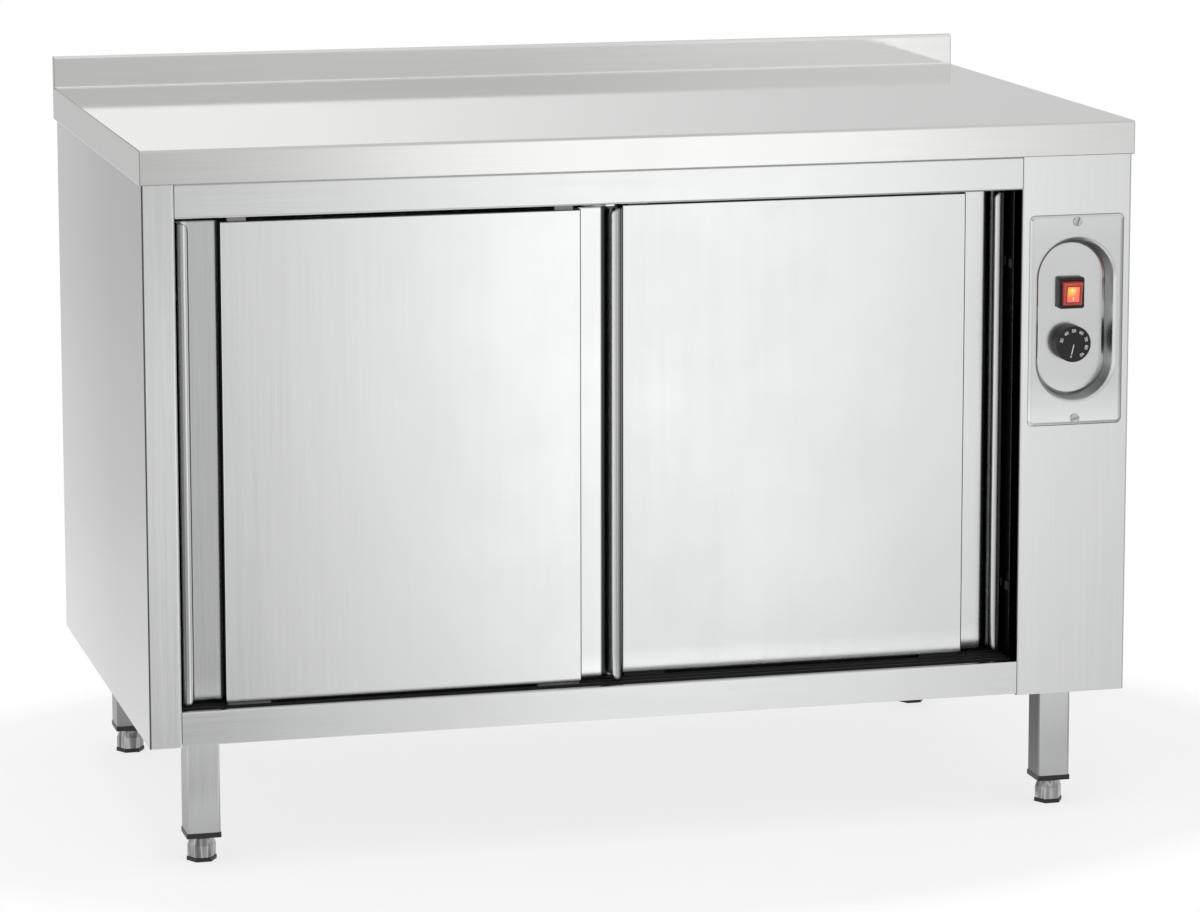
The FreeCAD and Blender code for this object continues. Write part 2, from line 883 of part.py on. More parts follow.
def leg(x, y):
    """Square tube with a welded plate that lies against the tray."""
    top = tray_floor - leg_plate_sheet
    tube = square_tube(x, y, leg_size, leg_corner, leg_bottom, top)
    inside = square_tube(x, y, leg_size - leg_wall * 2, 0, leg_bottom - overrun, top)
    plate = square_tube(x, y, leg_plate, 0, top, tray_floor)
    return fused([tube.cut(inside), plate])


def leg_caps():
    """Plastic end caps with the threaded bore for the feet."""
    caps = []
    plug = leg_size - (leg_wall + cap_clearance) * 2
    for x, y in leg_places.values():
        collar = square_tube(x, y, leg_size + cap_proud * 2, 0, cap_bottom, leg_bottom)
        core = square_tube(x, y, plug, 0, leg_bottom, leg_bottom + cap_plug)
        centre = (x + leg_size / 2, y + leg_size / 2)
        bore = rod(
            stud_radius + running_clearance, (*centre, cap_bottom - overrun),
            (*centre, leg_bottom + cap_plug + overrun))
        caps.append(fused([collar, core]).cut(bore))
    return Part.makeCompound(caps)


def foot(x, y):
    """Hexagonal sleeve, narrower at the top, with the threaded stud that sets its height."""
    centre = (x + leg_size / 2, y + leg_size / 2)
    top = foot_height - body_gap
    shoulder = top - foot_height * foot_cone_share
    sleeve = prism(hexagon_points(*centre, foot_flats), 0, "XY", foot_pad_height, shoulder)
    neck = frustum(hexagon_points(*centre, foot_flats), hexagon_points(*centre, foot_top_flats), shoulder, top)
    stud = rod(stud_radius, (*centre, top), (*centre, top + stud_length))
    return fused([sleeve, neck, stud])


def foot_pad(x, y):
    centre = (x + leg_size / 2, y + leg_size / 2)
    flats = foot_flats + foot_pad_proud * 2
    return prism(hexagon_points(*centre, flats), 0, "XY", 0, foot_pad_height)


def shelf():
    """Loose shelf: a sheet with its four edges folded down and turned in."""
    return pan(
        (shelf_left, shelf_right), (shelf_front, shelf_rear), (shelf_bottom, shelf_height),
        panel_sheet, (2, -1), shelf_lip, panel_bend)


def upright_sides():
    return ((opening_left, 1), (opening_right, -1))


def shelf_uprights():
    """Slotted channels on the side walls."""
    channels = []
    top = ceiling_bottom - upright_head_gap
    for wall, inward in upright_sides():
        face = wall + inward * upright_depth
        for y in upright_places:
            channel = block(wall, face, y, y + upright_width, upright_bottom, top)
            channel = channel.cut(block(
                wall - inward * overrun, face - inward * upright_sheet, y + upright_sheet,
                y + upright_width - upright_sheet, upright_bottom - overrun, top + overrun))
            centre = y + upright_width / 2
            slots = []
            z = upright_bottom + slot_first
            while z < top - slot_height:
                slots.append(block(
                    face - inward * overrun, face + inward * overrun,
                    centre - slot_width / 2, centre + slot_width / 2, z, z + slot_height))
                z += slot_pitch
            channels.append(channel.cut(slots))
    return Part.makeCompound(channels)


def clip_slot_z():
    """Height of the slot just under the shelf that holds the clips."""
    steps = math.floor((shelf_bottom - body_gap - upright_bottom - slot_first - slot_height) / slot_pitch)
    return upright_bottom + slot_first + steps * slot_pitch


def shelf_clips():
    """Bent clips: a tongue in the upright's slot and a bracket under the shelf."""
    clips = []
    slot = clip_slot_z()
    top = shelf_bottom - body_gap
    for wall, inward in upright_sides():
        face = wall + inward * upright_depth
        end = face + inward * clip_reach
        for y in upright_places:
            centre = y + upright_width / 2
            y0 = centre - clip_width / 2
            y1 = centre + clip_width / 2
            plate = block(face, face + inward * upright_sheet, y0, y1, slot, top)
            seat = block(face, end, y0, y1, top - upright_sheet, top)
            web = prism(
                [(face, top), (face, slot), (end, top - upright_sheet), (end, top)], 0, "XZ",
                y0, y0 + upright_sheet)
            half = slot_width / 2 - clip_clearance
            tongue = block(
                face - inward * clip_tongue, face, centre - half, centre + half,
                slot + clip_clearance, slot + slot_height - clip_clearance)
            clips.append(fused([plate, seat, web, tongue]))
    return Part.makeCompound(clips)


def pressed(grow, inset, start, end):
    """The recess's round-ended outline, made larger all round, as a solid that narrows along Y."""
    wide = recess_width + grow * 2
    return drawn_in(wide, recess_height + grow * 2, wide / 2, inset, start, end)


def control_plate():
    """Bevelled plate with the stepped, drafted recess pressed into it."""
    slab = drawn_in(plate_width, plate_height, plate_corner, plate_bevel, body_front, plate_front)
    step = plate_front + recess_step_depth
    slope = recess_floor - recess_floor_step
    back_face = recess_floor + recess_wall
    cup = fused([
        pressed(recess_step + recess_wall, 0, plate_front + plate_thickness / 2, step + recess_wall),
        pressed(recess_wall, 0, step, back_face),
    ])
    hollow = fused([
        pressed(recess_step, recess_step, plate_front, step),
        pressed(recess_step, 0, plate_front - panel_sheet, plate_front),
        pressed(0, recess_draft, step, slope),
        pressed(-recess_draft, recess_floor_step, slope, recess_floor),
    ])
    plate = slab.fuse(cup).cut(hollow)
    cut_wide = switch_body_width + switch_cut_gap * 2
    cut_high = switch_body_height + switch_cut_gap * 2
    rear = recess_floor + recess_wall + overrun
    holes = [
        block(control_x - cut_wide / 2, control_x + cut_wide / 2, recess_floor - overrun, rear,
              switch_z - cut_high / 2, switch_z + cut_high / 2),
        rod(shaft_hole_radius, (control_x, recess_floor - overrun, knob_z), (control_x, rear, knob_z)),
    ]
    return plate.cut(holes)


def rocker_section(grow):
    """Side outline of the rocker about its pivot, in Y and Z."""
    half = rocker_height / 2 + grow
    tail = half * rocker_tail_share
    nose = rocker_pivot_y - rocker_front
    return [
        (nose, switch_z - half), (nose + rocker_dip, switch_z), (nose, switch_z + half),
        (rocker_pivot_y + rocker_back - rocker_pivot_depth, switch_z + half),
        (rocker_pivot_y + rocker_tail - rocker_pivot_depth, switch_z + tail),
        (rocker_pivot_y + rocker_tail - rocker_pivot_depth, switch_z - tail),
        (rocker_pivot_y + rocker_back - rocker_pivot_depth, switch_z - half),
    ]


def switch_housing():
    """Tall bezel, body and terminal tags of the rocker switch, with the rocker's well."""
    bezel = prism(
        rectangle(control_x, switch_z, bezel_width, bezel_height), bezel_corner, "XZ",
        bezel_front, recess_floor)
    body_end = recess_floor + switch_body_depth
    body = block(
        control_x - switch_body_width / 2, control_x + switch_body_width / 2, recess_floor - panel_sheet, body_end,
        switch_z - switch_body_height / 2, switch_z + switch_body_height / 2)
    pieces = [bezel, body]
    for side_x in (-1, 1):
        for side_z in (-1, 1):
            x = control_x + side_x * switch_body_width / 4
            z = switch_z + side_z * switch_body_height / 4
            pieces.append(block(
                x - terminal_sheet / 2, x + terminal_sheet / 2, body_end, body_end + terminal_length,
                z - terminal_width / 2, z + terminal_width / 2))
    half_x = rocker_width / 2 + rocker_side_gap
    half_z = rocker_height / 2 + rocker_end_gap
    well = block(
        control_x - half_x, control_x + half_x, bezel_front - overrun, bezel_front + rocker_well,
        switch_z - half_z, switch_z + half_z)
    reach = half_x + rocker_pin_length
    bore = rod(
        rocker_pin_radius + running_clearance, (control_x - reach, rocker_pivot_y, switch_z),
        (control_x + reach, rocker_pivot_y, switch_z))
    return fused(pieces).cut([well, bore])


def rocker():
    """Rocker with a shallow V front and pivot pins, tilted with its lower end in."""
    body = prism(
        rocker_section(0), 0, "YZ", control_x - rocker_width / 2, control_x + rocker_width / 2)
    nose = rocker_pivot_y - rocker_front
    body = fillet_near(body, rocker_edge, lambda c: c.y < nose + rocker_dip * 3 / 4)
    reach = rocker_width / 2 + rocker_pin_length
    pins = rod(
        rocker_pin_radius, (control_x - reach, rocker_pivot_y, switch_z),
        (control_x + reach, rocker_pivot_y, switch_z))
    whole = fused([body, pins])
    whole.rotate(FreeCAD.Vector(control_x, rocker_pivot_y, switch_z), X, rocker_tilt)
    return whole


def thermostat_knob():
    """Round knob with a bevelled face and the bore for the thermostat's shaft."""
    base = recess_floor - knob_floor_gap
    face = base - knob_height
    body = rod(knob_radius, (control_x, base, knob_z), (control_x, face, knob_z))
    body = body.makeChamfer(knob_edge, [e for e in body.Edges if same(e.BoundBox.Center.y, face)])
    bore = rod(
        shaft_radius + running_clearance, (control_x, base + overrun, knob_z),
        (control_x, face + knob_wall, knob_z))
    return body.cut(bore)


def thermostat_shaft():
    face = recess_floor - knob_floor_gap - knob_height
    return rod(
        shaft_radius, (control_x, face + knob_wall, knob_z),
        (control_x, recess_floor + recess_wall + shaft_bore_depth - overrun, knob_z))


def capillary_y():
    return recess_floor + recess_wall + thermostat_depth + capillary_back + capillary_bend


def thermostat():
    """Thermostat behind the recess, its capillary, and the bulb in the cavity."""
    start = recess_floor + recess_wall
    end = start + thermostat_depth
    body = block(
        control_x - thermostat_width / 2, control_x + thermostat_width / 2, start, end,
        knob_z - thermostat_width / 2, knob_z + thermostat_width / 2)
    bore = rod(
        shaft_radius + running_clearance, (control_x, start - overrun, knob_z),
        (control_x, start + shaft_bore_depth, knob_z))
    y = capillary_y()
    bulb_x = opening_right - bulb_wall_gap - bulb_radius
    half = capillary_size / 2
    line = [
        (control_x + half, end), (control_x + half, y + half), (bulb_x + half, y + half),
        (bulb_x + half, y + capillary_bend * 2),
    ]
    tube = folded(line, capillary_size, capillary_bend / 3, -1, "XY", knob_z - half, knob_z + half)
    bulb = rod(
        bulb_radius, (bulb_x, y + capillary_bend * 2, knob_z),
        (bulb_x, y + capillary_bend * 2 + bulb_length, knob_z))
    return fused([body.cut(bore), tube, bulb])


def heater_box():
    """Sheet housing of the fan heater, flanged to the cavity wall and open towards it."""
    y0 = heater_y - heater_width / 2
    y1 = heater_y + heater_width / 2
    z0 = heater_z - heater_height / 2
    z1 = heater_z + heater_height / 2
    box = pan(
        (partition_right, heater_right), (y0, y1), (z0, z1), panel_sheet, (0, -1), 0, 0)
    flange = block(
        partition_right, partition_right + panel_sheet, y0 - heater_flange, y1 + heater_flange,
        z0 - heater_flange, z1 + heater_flange)
    mouth = block(
        partition_right - overrun, partition_right + overrun, y0 + panel_sheet, y1 - panel_sheet,
        z0 + panel_sheet, z1 - panel_sheet)
    box = fused([box, flange.cut(mouth)])
    holes = [rod(
        motor_collar_radius, (heater_right - overrun, heater_y, heater_z),
        (heater_right + overrun, heater_y, heater_z))]
    for y, z in element_ends():
        holes.append(rod(
            element_post_radius, (heater_right - overrun, y, z), (heater_right + overrun, y, z)))
    return box.cut(holes)


def element_ends():
    """Where the two posts of the heating loop pass through the housing."""
    low = heater_z - element_width / 2 + element_tube / 2
    return [(heater_y + side * (element_gap / 2 + element_tube / 2), low) for side in (-1, 1)]


def heating_element():
    """Flat-sided heating loop round the fan, open at the foot, with a post at each end."""
    half = element_width / 2
    gap = element_gap / 2
    low = heater_z - half
    line = [
        (heater_y - gap, low), (heater_y - half, low), (heater_y - half, low + element_width),
        (heater_y + half, low + element_width), (heater_y + half, low), (heater_y + gap, low),
    ]
    x = heater_right - element_setback
    loop = folded(line, element_tube, element_bend, 1, "YZ", x - element_tube / 2, x + element_tube / 2)
    posts = [
        rod(element_post_radius, (x, y, z), (heater_right + element_terminal, y, z)) for y, z in element_ends()]
    return fused([loop] + posts)


def fan_motor():
    """Shaded-pole motor: a square stack, a coil end, and a collar with the fan shaft's bore."""
    middle = heater_right + motor_stack
    half = motor_width / 2
    coil = half * motor_end_share
    stack = block(heater_right, middle, heater_y - half, heater_y + half, heater_z - half, heater_z + half)
    end = block(
        middle, heater_right + motor_length, heater_y - coil, heater_y + coil, heater_z - coil, heater_z + coil)
    collar = rod(
        motor_collar_radius - body_gap, (heater_right - motor_collar, heater_y, heater_z),
        (heater_right, heater_y, heater_z))
    bore = rod(
        motor_shaft_radius + running_clearance, (heater_right - motor_collar - overrun, heater_y, heater_z),
        (heater_right + motor_bore, heater_y, heater_z))
    return fused([stack, end, collar]).cut(bore)


def fan_impeller():
    """Radial fan wheel: a back plate, a hub with its shaft, and straight blades."""
    disc = rod(
        impeller_radius, (impeller_back - impeller_sheet, heater_y, heater_z),
        (impeller_back, heater_y, heater_z))
    hub = rod(impeller_hub, (impeller_front, heater_y, heater_z), (impeller_back, heater_y, heater_z))
    shaft = rod(
        motor_shaft_radius, (impeller_back, heater_y, heater_z),
        (heater_right + motor_bore - shaft_tip, heater_y, heater_z))
    pieces = [disc, hub, shaft]
    for i in range(blade_count):
        blade = block(
            impeller_front, impeller_back - impeller_sheet / 2, heater_y + impeller_eye,
            heater_y + impeller_radius - impeller_sheet,
            heater_z - impeller_sheet / 2, heater_z + impeller_sheet / 2)
        blade.rotate(FreeCAD.Vector(0, heater_y, heater_z), X, full_turn * i / blade_count)
        pieces.append(blade)
    return fused(pieces)


def terminal_block():
    """Mains terminal block on the tray, with a screw hole over each way."""
    y0 = tray_rear - block_setback - block_depth
    body = block(
        control_x - block_width / 2, control_x + block_width / 2, y0, y0 + block_depth,
        tray_top, tray_top + block_height)
    holes = []
    for i in range(block_ways):
        x = control_x + ((i + 1 / 2) / block_ways - 1 / 2) * block_width
        top = tray_top + block_height
        y = y0 + block_depth / 2
        holes.append(block(
            x - block_hole / 2, x + block_hole / 2, y - block_hole / 2, y + block_hole / 2,
            top - block_hole_depth, top + overrun))
    return body.cut(holes)


def cable_gland():
    """Gland in the rear panel: hexagon, cap nut and lock nut round the cable's bore."""
    outer = body_rear - panel_sheet
    inner = outer - panel_sheet
    centre = (gland_x, gland_height)
    hexagon = prism(hexagon_points(*centre, gland_hex_flats), 0, "XZ", outer, outer + gland_hex_height)
    tip = outer + gland_hex_height + gland_cap_length
    cap = prism(hexagon_points(*centre, gland_cap_flats), 0, "XZ", outer + gland_hex_height, tip)
    thread = rod(
        gland_thread_radius, (gland_x, inner - gland_thread_length, gland_height),
        (gland_x, outer + panel_sheet, gland_height))
    nut = prism(hexagon_points(*centre, gland_hex_flats), 0, "XZ", inner - gland_nut_height, inner)
    bore = rod(
        gland_bore_radius, (gland_x, inner - gland_thread_length - overrun, gland_height),
        (gland_x, tip + overrun, gland_height))
    return fused([hexagon, cap, thread, nut]).cut(bore)


def flat_cable(points, x):
    """A flat cable laid in an upright plane, with its corners bent."""
    return folded(
        points, cable_thickness, cable_bend, 1, "YZ", x - cable_width / 2, x + cable_width / 2)


def wiring_loom():
    """Flat cables from the terminal block to the switch, the thermostat and the heating loop."""
    block_y = tray_rear - block_setback - block_depth
    low = tray_top + block_height / 2
    tags = recess_floor + switch_body_depth + terminal_length
    thermostat_end = recess_floor + recess_wall + thermostat_depth
    offset = switch_body_width / 4
    switch_end = switch_z - switch_body_height / 4
    thermostat_exit = knob_z - thermostat_width / 4
    post_y, post_z = element_ends()[1]
    post_x = heater_right + element_terminal / 3
    cables = []
    for x, start, z in (
            (control_x + offset, tags, switch_end), (control_x - offset, thermostat_end, thermostat_exit)):
        turn = start + cable_turn
        cables.append(flat_cable([(start, z), (turn, z), (turn, low), (block_y, low)], x))
    post_foot = post_z - element_post_radius
    turn = post_y + cable_thickness / 2
    cables.append(flat_cable([(turn, post_foot), (turn, low), (block_y, low)], post_x))
    return Part.makeCompound(cables)


def build():
    parts = {
        "worktop": worktop(),
        "worktop_stiffeners": worktop_stiffeners(),
        "left_side_panel": left_side_panel(),
        "right_side_panel": right_side_panel(),
        "rear_panel": rear_panel(),
        "base_tray": base_tray(),
        "front_top_rail": front_top_rail(),
        "front_bottom_rail": front_bottom_rail(),
        "left_inner_wall": left_inner_wall(),
        "right_inner_wall": right_inner_wall(),
        "rear_inner_wall": rear_inner_wall(),
        "ceiling_panel": ceiling_panel(),
        "cabinet_floor": cabinet_floor(),
        "insulation_boards": insulation_boards(),
        "top_track": top_track(),
        "bottom_guide": bottom_guide(),
        "door_buffers": door_buffers(),
        "control_plate": control_plate(),
        "switch_housing": switch_housing(),
        "rocker": rocker(),
        "thermostat": thermostat(),
        "thermostat_shaft": thermostat_shaft(),
        "thermostat_knob": thermostat_knob(),
        "heater_box": heater_box(),
        "heating_element": heating_element(),
        "fan_motor": fan_motor(),
        "fan_impeller": fan_impeller(),
        "terminal_block": terminal_block(),
        "cable_gland": cable_gland(),
        "wiring_loom": wiring_loom(),
        "shelf": shelf(),
        "shelf_uprights": shelf_uprights(),
        "shelf_clips": shelf_clips(),
        "leg_caps": leg_caps(),
    }
    for door, x, y in (("left", left_door_x, left_door_front), ("right", right_door_x, right_door_front)):
        parts[door + "_door_panel"] = door_panel(x, y)
        parts[door + "_door_shell"] = door_shell(x, y)
        parts[door + "_door_hangers"] = door_hangers(x, y)
        parts[door + "_door_guides"] = door_guides(x, y)
        for side, centre in zip(("left", "right"), hanger_centres(x)):
            parts[door + "_door_roller_" + side] = door_roller(centre, y)
    for place, (x, y) in leg_places.items():
        parts["leg_" + place] = leg(x, y)
        parts["foot_" + place] = foot(x, y)
        parts["foot_pad_" + place] = foot_pad(x, y)
    return parts


def main():
    os.makedirs("parts", exist_ok=True)
    for name, shape in build().items():
        shape.exportStep("parts/" + name + ".step")
        print(name, len(shape.Solids), shape.isValid(), round(shape.Volume))


main()
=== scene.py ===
"""Dresses the plate warmer cabinet: metal, plastic and rubber finishes, the knob's scale,
the rocker's lit window, and a pale studio."""
import json
import math

import bmesh
import bpy
from mathutils import Matrix, Vector


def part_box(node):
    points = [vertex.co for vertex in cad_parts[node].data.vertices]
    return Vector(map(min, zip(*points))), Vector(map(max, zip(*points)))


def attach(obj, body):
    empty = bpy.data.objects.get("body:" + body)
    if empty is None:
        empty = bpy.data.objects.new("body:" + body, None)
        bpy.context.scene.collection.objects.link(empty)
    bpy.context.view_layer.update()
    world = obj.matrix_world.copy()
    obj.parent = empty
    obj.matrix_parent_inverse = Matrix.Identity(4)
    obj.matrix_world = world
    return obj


bl_info = {
    "name": "Plate warmer cabinet",
    "version": (1, 0, 0),
    "blender": (4, 5, 0),
    "location": "View3D > Sidebar > Cabinet",
    "description": "Finishes a stainless steel plate warmer cabinet and its studio",
    "category": "Object",
}

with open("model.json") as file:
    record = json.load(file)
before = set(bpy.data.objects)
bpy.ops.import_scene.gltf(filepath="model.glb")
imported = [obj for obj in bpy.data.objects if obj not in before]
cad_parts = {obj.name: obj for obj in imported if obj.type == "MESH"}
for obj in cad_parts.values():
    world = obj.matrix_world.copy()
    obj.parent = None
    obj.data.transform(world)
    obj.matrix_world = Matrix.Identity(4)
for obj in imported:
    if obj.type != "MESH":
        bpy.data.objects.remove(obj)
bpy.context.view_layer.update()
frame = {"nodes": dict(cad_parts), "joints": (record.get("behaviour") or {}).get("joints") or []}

CORNERS = ("front_left", "front_right", "rear_left", "rear_right")
DOORS = ("left", "right")
# Parts of a normal between which a shade grows to its full strength.
FACE_RANGE = (0.35, 0.8)
FOLD_RANGE = (0.12, 0.36)
# Width in pixels of the matched picture, which the lens's settings are shares of.
PICTURE_WIDTH = 1200.0
# Size of Blender's font over the height of its figures.
FONT_SIZE_SHARE = 1.35


class SteelSettings(bpy.types.PropertyGroup):
    tone: bpy.props.FloatProperty(
        name="Tone", description="Lightness of the bare steel", default=0.80, min=0.0, max=1.0)
    grain_fineness: bpy.props.FloatProperty(
        name="Grain fineness", description="Brushed lines per metre across the grain", default=1500.0)
    grain_length: bpy.props.FloatProperty(
        name="Grain length", description="Length of a brushed line", default=0.12, unit="LENGTH")
    band_width: bpy.props.FloatProperty(
        name="Band width", description="Width of the faint broad bands, in brushed lines", default=14.0)
    roughness: bpy.props.FloatProperty(
        name="Roughness", description="Blur of reflections on the flat sheets",
        default=0.20, min=0.0, max=1.0, subtype="FACTOR")
    cast: bpy.props.FloatVectorProperty(
        name="Cast", description="Faint colour of the steel, against plain grey",
        default=(0.985, 1.0, 0.992), size=3, min=0.0, max=1.2)
    edge_radius: bpy.props.FloatProperty(
        name="Edge radius", description="Rounding that catches light on sheet edges",
        default=0.0005, unit="LENGTH")
    # The dark line along a folded edge is painted shade; this width is also the rounding of those edges.
    fold_width: bpy.props.FloatProperty(
        name="Fold width", description="Width of the dark line along a folded edge",
        default=0.0018, unit="LENGTH")
    grip_round: bpy.props.FloatProperty(
        name="Grip round", description="Softness of the rolled edges of the doors",
        default=0.003, unit="LENGTH")
    hem_reach: bpy.props.FloatProperty(
        name="Hem reach", description="How far a door's lower edge is drawn back by its fold",
        default=0.030, unit="LENGTH")
    hem_lean: bpy.props.FloatProperty(
        name="Hem lean", description="Slope of a door's sheet at its lower edge", default=0.045)
    worktop_fall: bpy.props.FloatProperty(
        name="Worktop fall", description="Slope of the worktop's sheet towards the front", default=0.024)


class ControlSettings(bpy.types.PropertyGroup):
    knob_black: bpy.props.FloatVectorProperty(
        name="Knob black", description="Colour of the knob and the bezel",
        default=(0.011, 0.011, 0.0115), size=3, subtype="COLOR", min=0.0, max=1.0)
    rocker_red: bpy.props.FloatVectorProperty(
        name="Rocker red", description="Colour of the rocker's frame",
        default=(0.70, 0.105, 0.075), size=3, subtype="COLOR", min=0.0, max=1.0)
    lamp_glow: bpy.props.FloatVectorProperty(
        name="Lamp glow", description="Colour of the lit window",
        default=(1.0, 0.16, 0.03), size=3, subtype="COLOR", min=0.0, max=1.0)
    mark_white: bpy.props.FloatVectorProperty(
        name="Mark white", description="Colour of the printed marks",
        default=(0.95, 0.95, 0.93), size=3, subtype="COLOR", min=0.0, max=1.0)
    numeral_height: bpy.props.FloatProperty(
        name="Numeral height", description="Height of the scale's numbers",
        default=0.0041, unit="LENGTH")
    numeral_radius: bpy.props.FloatProperty(
        name="Numeral radius", description="Distance of the numbers from the knob's centre",
        default=0.0162, unit="LENGTH")
    print_weight: bpy.props.FloatProperty(
        name="Print weight", description="How much bolder the printed marks are than their font",
        default=0.00006, unit="LENGTH")
    plate_edge: bpy.props.FloatProperty(
        name="Plate edge", description="Softness of the pressed edges of the control plate",
        default=0.0022, unit="LENGTH")
    print_rise: bpy.props.FloatProperty(
        name="Print rise", description="Thickness of the printed marks",
        default=0.00012, unit="LENGTH")


class StudioSettings(bpy.types.PropertyGroup):
    camera_place: bpy.props.FloatVectorProperty(
        name="Camera place", description="Where the camera stands",
        default=(-1.418525, -5.608388, 1.488484), size=3, subtype="TRANSLATION")
    camera_yaw: bpy.props.FloatProperty(
        name="Camera yaw", description="Turn of the camera from the back towards the right",
        default=math.radians(14.9627), subtype="ANGLE")
    camera_pitch: bpy.props.FloatProperty(
        name="Camera pitch", description="How far the camera looks down",
        default=math.radians(9.0543), subtype="ANGLE")
    camera_roll: bpy.props.FloatProperty(
        name="Camera roll", description="Tilt of the picture",
        default=math.radians(-0.0229), subtype="ANGLE")
    focal_share: bpy.props.FloatProperty(
        name="Focal share", description="Focal length as a share of the picture's width",
        default=4707.85 / PICTURE_WIDTH)
    shift_right: bpy.props.FloatProperty(
        name="Shift right", description="Sideways shift of the lens, as a share of the picture's width",
        default=-40.0 / PICTURE_WIDTH)
    shift_up: bpy.props.FloatProperty(
        name="Shift up", description="Upward shift of the lens, as a share of the picture's width",
        default=-126.0 / PICTURE_WIDTH)
    key_power: bpy.props.FloatProperty(
        name="Key light", description="Power of the soft light above", default=26.0, unit="POWER")
    fill_power: bpy.props.FloatProperty(
        name="Fill light", description="Power of the soft light in front", default=9.0, unit="POWER")


class Wiring:
    """Adds shader nodes to a material or a world and joins them."""

    def __init__(self, tree):
        self.tree = tree

    def node(self, kind, values=None, **settings):
        node = self.tree.nodes.new(kind)
        for key, value in settings.items():
            setattr(node, key, value)
        for key, value in (values or {}).items():
            node.inputs[key].default_value = value
        return node

    def join(self, source, target):
        self.tree.links.new(source, target)

    def maths(self, operation, first, second=None, clamp=False):
        node = self.node("ShaderNodeMath", operation=operation, use_clamp=clamp)
        for socket, value in zip(node.inputs, (first, second)):
            if isinstance(value, (int, float)):
                socket.default_value = value
            elif value is not None:
                self.join(value, socket)
        return node.outputs[0]

    def ramp(self, source, stops, interpolation="LINEAR"):
        node = self.node("ShaderNodeValToRGB")
        node.color_ramp.interpolation = interpolation
        elements = node.color_ramp.elements
        while len(elements) < len(stops):
            elements.new(0.5)
        for element, (place, value) in zip(elements, stops):
            element.position = place
            element.color = value if isinstance(value, tuple) else (value, value, value, 1.0)
        self.join(source, node.inputs[0])
        return node.outputs[0]

    def spread(self, source, low, high, to_low, to_high):
        node = self.node("ShaderNodeMapRange", {1: low, 2: high, 3: to_low, 4: to_high})
        self.join(source, node.inputs[0])
        return node.outputs[0]

    def weighted(self, first, second, share):
        """Two values mixed, with the first one's share."""
        rest = self.maths("MULTIPLY", second, 1.0 - share)
        return self.maths("ADD", self.maths("MULTIPLY", first, share), rest)

    def product(self, first, second):
        """Two colours multiplied."""
        mix = self.node("ShaderNodeMix", {0: 1.0}, data_type="RGBA", blend_type="MULTIPLY")
        self.join(first, mix.inputs[6])
        self.join(second, mix.inputs[7])
        return mix.outputs[2]

    def places(self):
        """The object's own coordinates, with one output for each axis."""
        coords = self.node("ShaderNodeTexCoord")
        parts = self.node("ShaderNodeSeparateXYZ")
        self.join(coords.outputs["Object"], parts.inputs[0])
        return parts.outputs

    def relief(self, height, strength, distance, normal=None):
        """A normal that follows fine heights."""
        bump = self.node("ShaderNodeBump", {"Strength": strength, "Distance": distance})
        self.join(height, bump.inputs["Height"])
        if normal is not None:
            self.join(normal, bump.inputs["Normal"])
        return bump.outputs[0]


def new_material(name):
    """A material with one Principled shader, and its wiring."""
    material = bpy.data.materials.new(name)
    material.use_nodes = True
    tree = material.node_tree
    tree.nodes.clear()
    wiring = Wiring(tree)
    output = wiring.node("ShaderNodeOutputMaterial")
    shader = wiring.node("ShaderNodeBsdfPrincipled")
    wiring.join(shader.outputs[0], output.inputs[0])
    return material, wiring, shader


def streaks(wiring, stretch, detail=3.0):
    """Noise drawn out along one axis, in lines per metre for each axis."""
    coords = wiring.node("ShaderNodeTexCoord")
    mapping = wiring.node("ShaderNodeMapping", {"Scale": stretch})
    noise = wiring.node("ShaderNodeTexNoise", {"Scale": 1.0, "Detail": detail, "Roughness": 0.6})
    wiring.join(coords.outputs["Object"], mapping.inputs["Vector"])
    wiring.join(mapping.outputs[0], noise.inputs["Vector"])
    return noise.outputs["Fac"]


def speckle(wiring, fineness, detail=3.0):
    """Even noise in spots per metre."""
    return streaks(wiring, (fineness, fineness, fineness), detail)


def shades(colour, dull, bright):
    """Stops of a ramp from a duller to a brighter shade of one colour."""
    low = tuple(min(part * dull, 1.0) for part in colour) + (1.0,)
    high = tuple(min(part * bright, 1.0) for part in colour) + (1.0,)
    return low, high


def place_ramp(wiring, axis, stops):
    """A value that follows the object's own axis, from places in metres and their values."""
    first, last = stops[0][0], stops[-1][0]
    share = wiring.spread(wiring.places()["XYZ".index(axis)], first, last, 0.0, 1.0)
    return wiring.ramp(share, [((place - first) / (last - first), value) for place, value in stops])


def facing(wiring, directions, rounded):
    """1 where the surface looks along a direction such as -X, or on a folded edge such as -X -Y."""
    folded = " " in directions
    normal = rounded if folded else wiring.node("ShaderNodeNewGeometry").outputs["True Normal"]
    parts = wiring.node("ShaderNodeSeparateXYZ")
    wiring.join(normal, parts.inputs[0])
    product = 1.0
    for axis in directions.split():
        sign = -1.0 if axis[0] == "-" else 1.0
        part = wiring.maths("MULTIPLY", parts.outputs["XYZ".index(axis[-1])], sign, clamp=True)
        product = wiring.maths("MULTIPLY", part, product)
    low, high = FOLD_RANGE if folded else FACE_RANGE
    return wiring.spread(product, low, high, 0.0, 1.0)


def sheltered(wiring, shade, rounded):
    """Painted shade and painted highlights: the share of light, painted into the colour, that sides in a
    gap or a recess and folded edges keep; a share above 1 paints a highlight.

    Each shade names the directions that a side looks in, an axis, and the stops along it.
    """
    keep = 1.0
    for directions, axis, stops in shade:
        kept = wiring.node("ShaderNodeMapRange", {3: 1.0})
        wiring.join(facing(wiring, directions, rounded), kept.inputs[0])
        wiring.join(place_ramp(wiring, axis, stops), kept.inputs[4])
        keep = wiring.maths("MULTIPLY", kept.outputs[0], keep)
    return keep


def leaning(wiring, height, normal):
    """The normal of a sheet that is very slightly out of true, from its height in metres."""
    return wiring.relief(height, 1.0, 1.0, normal)


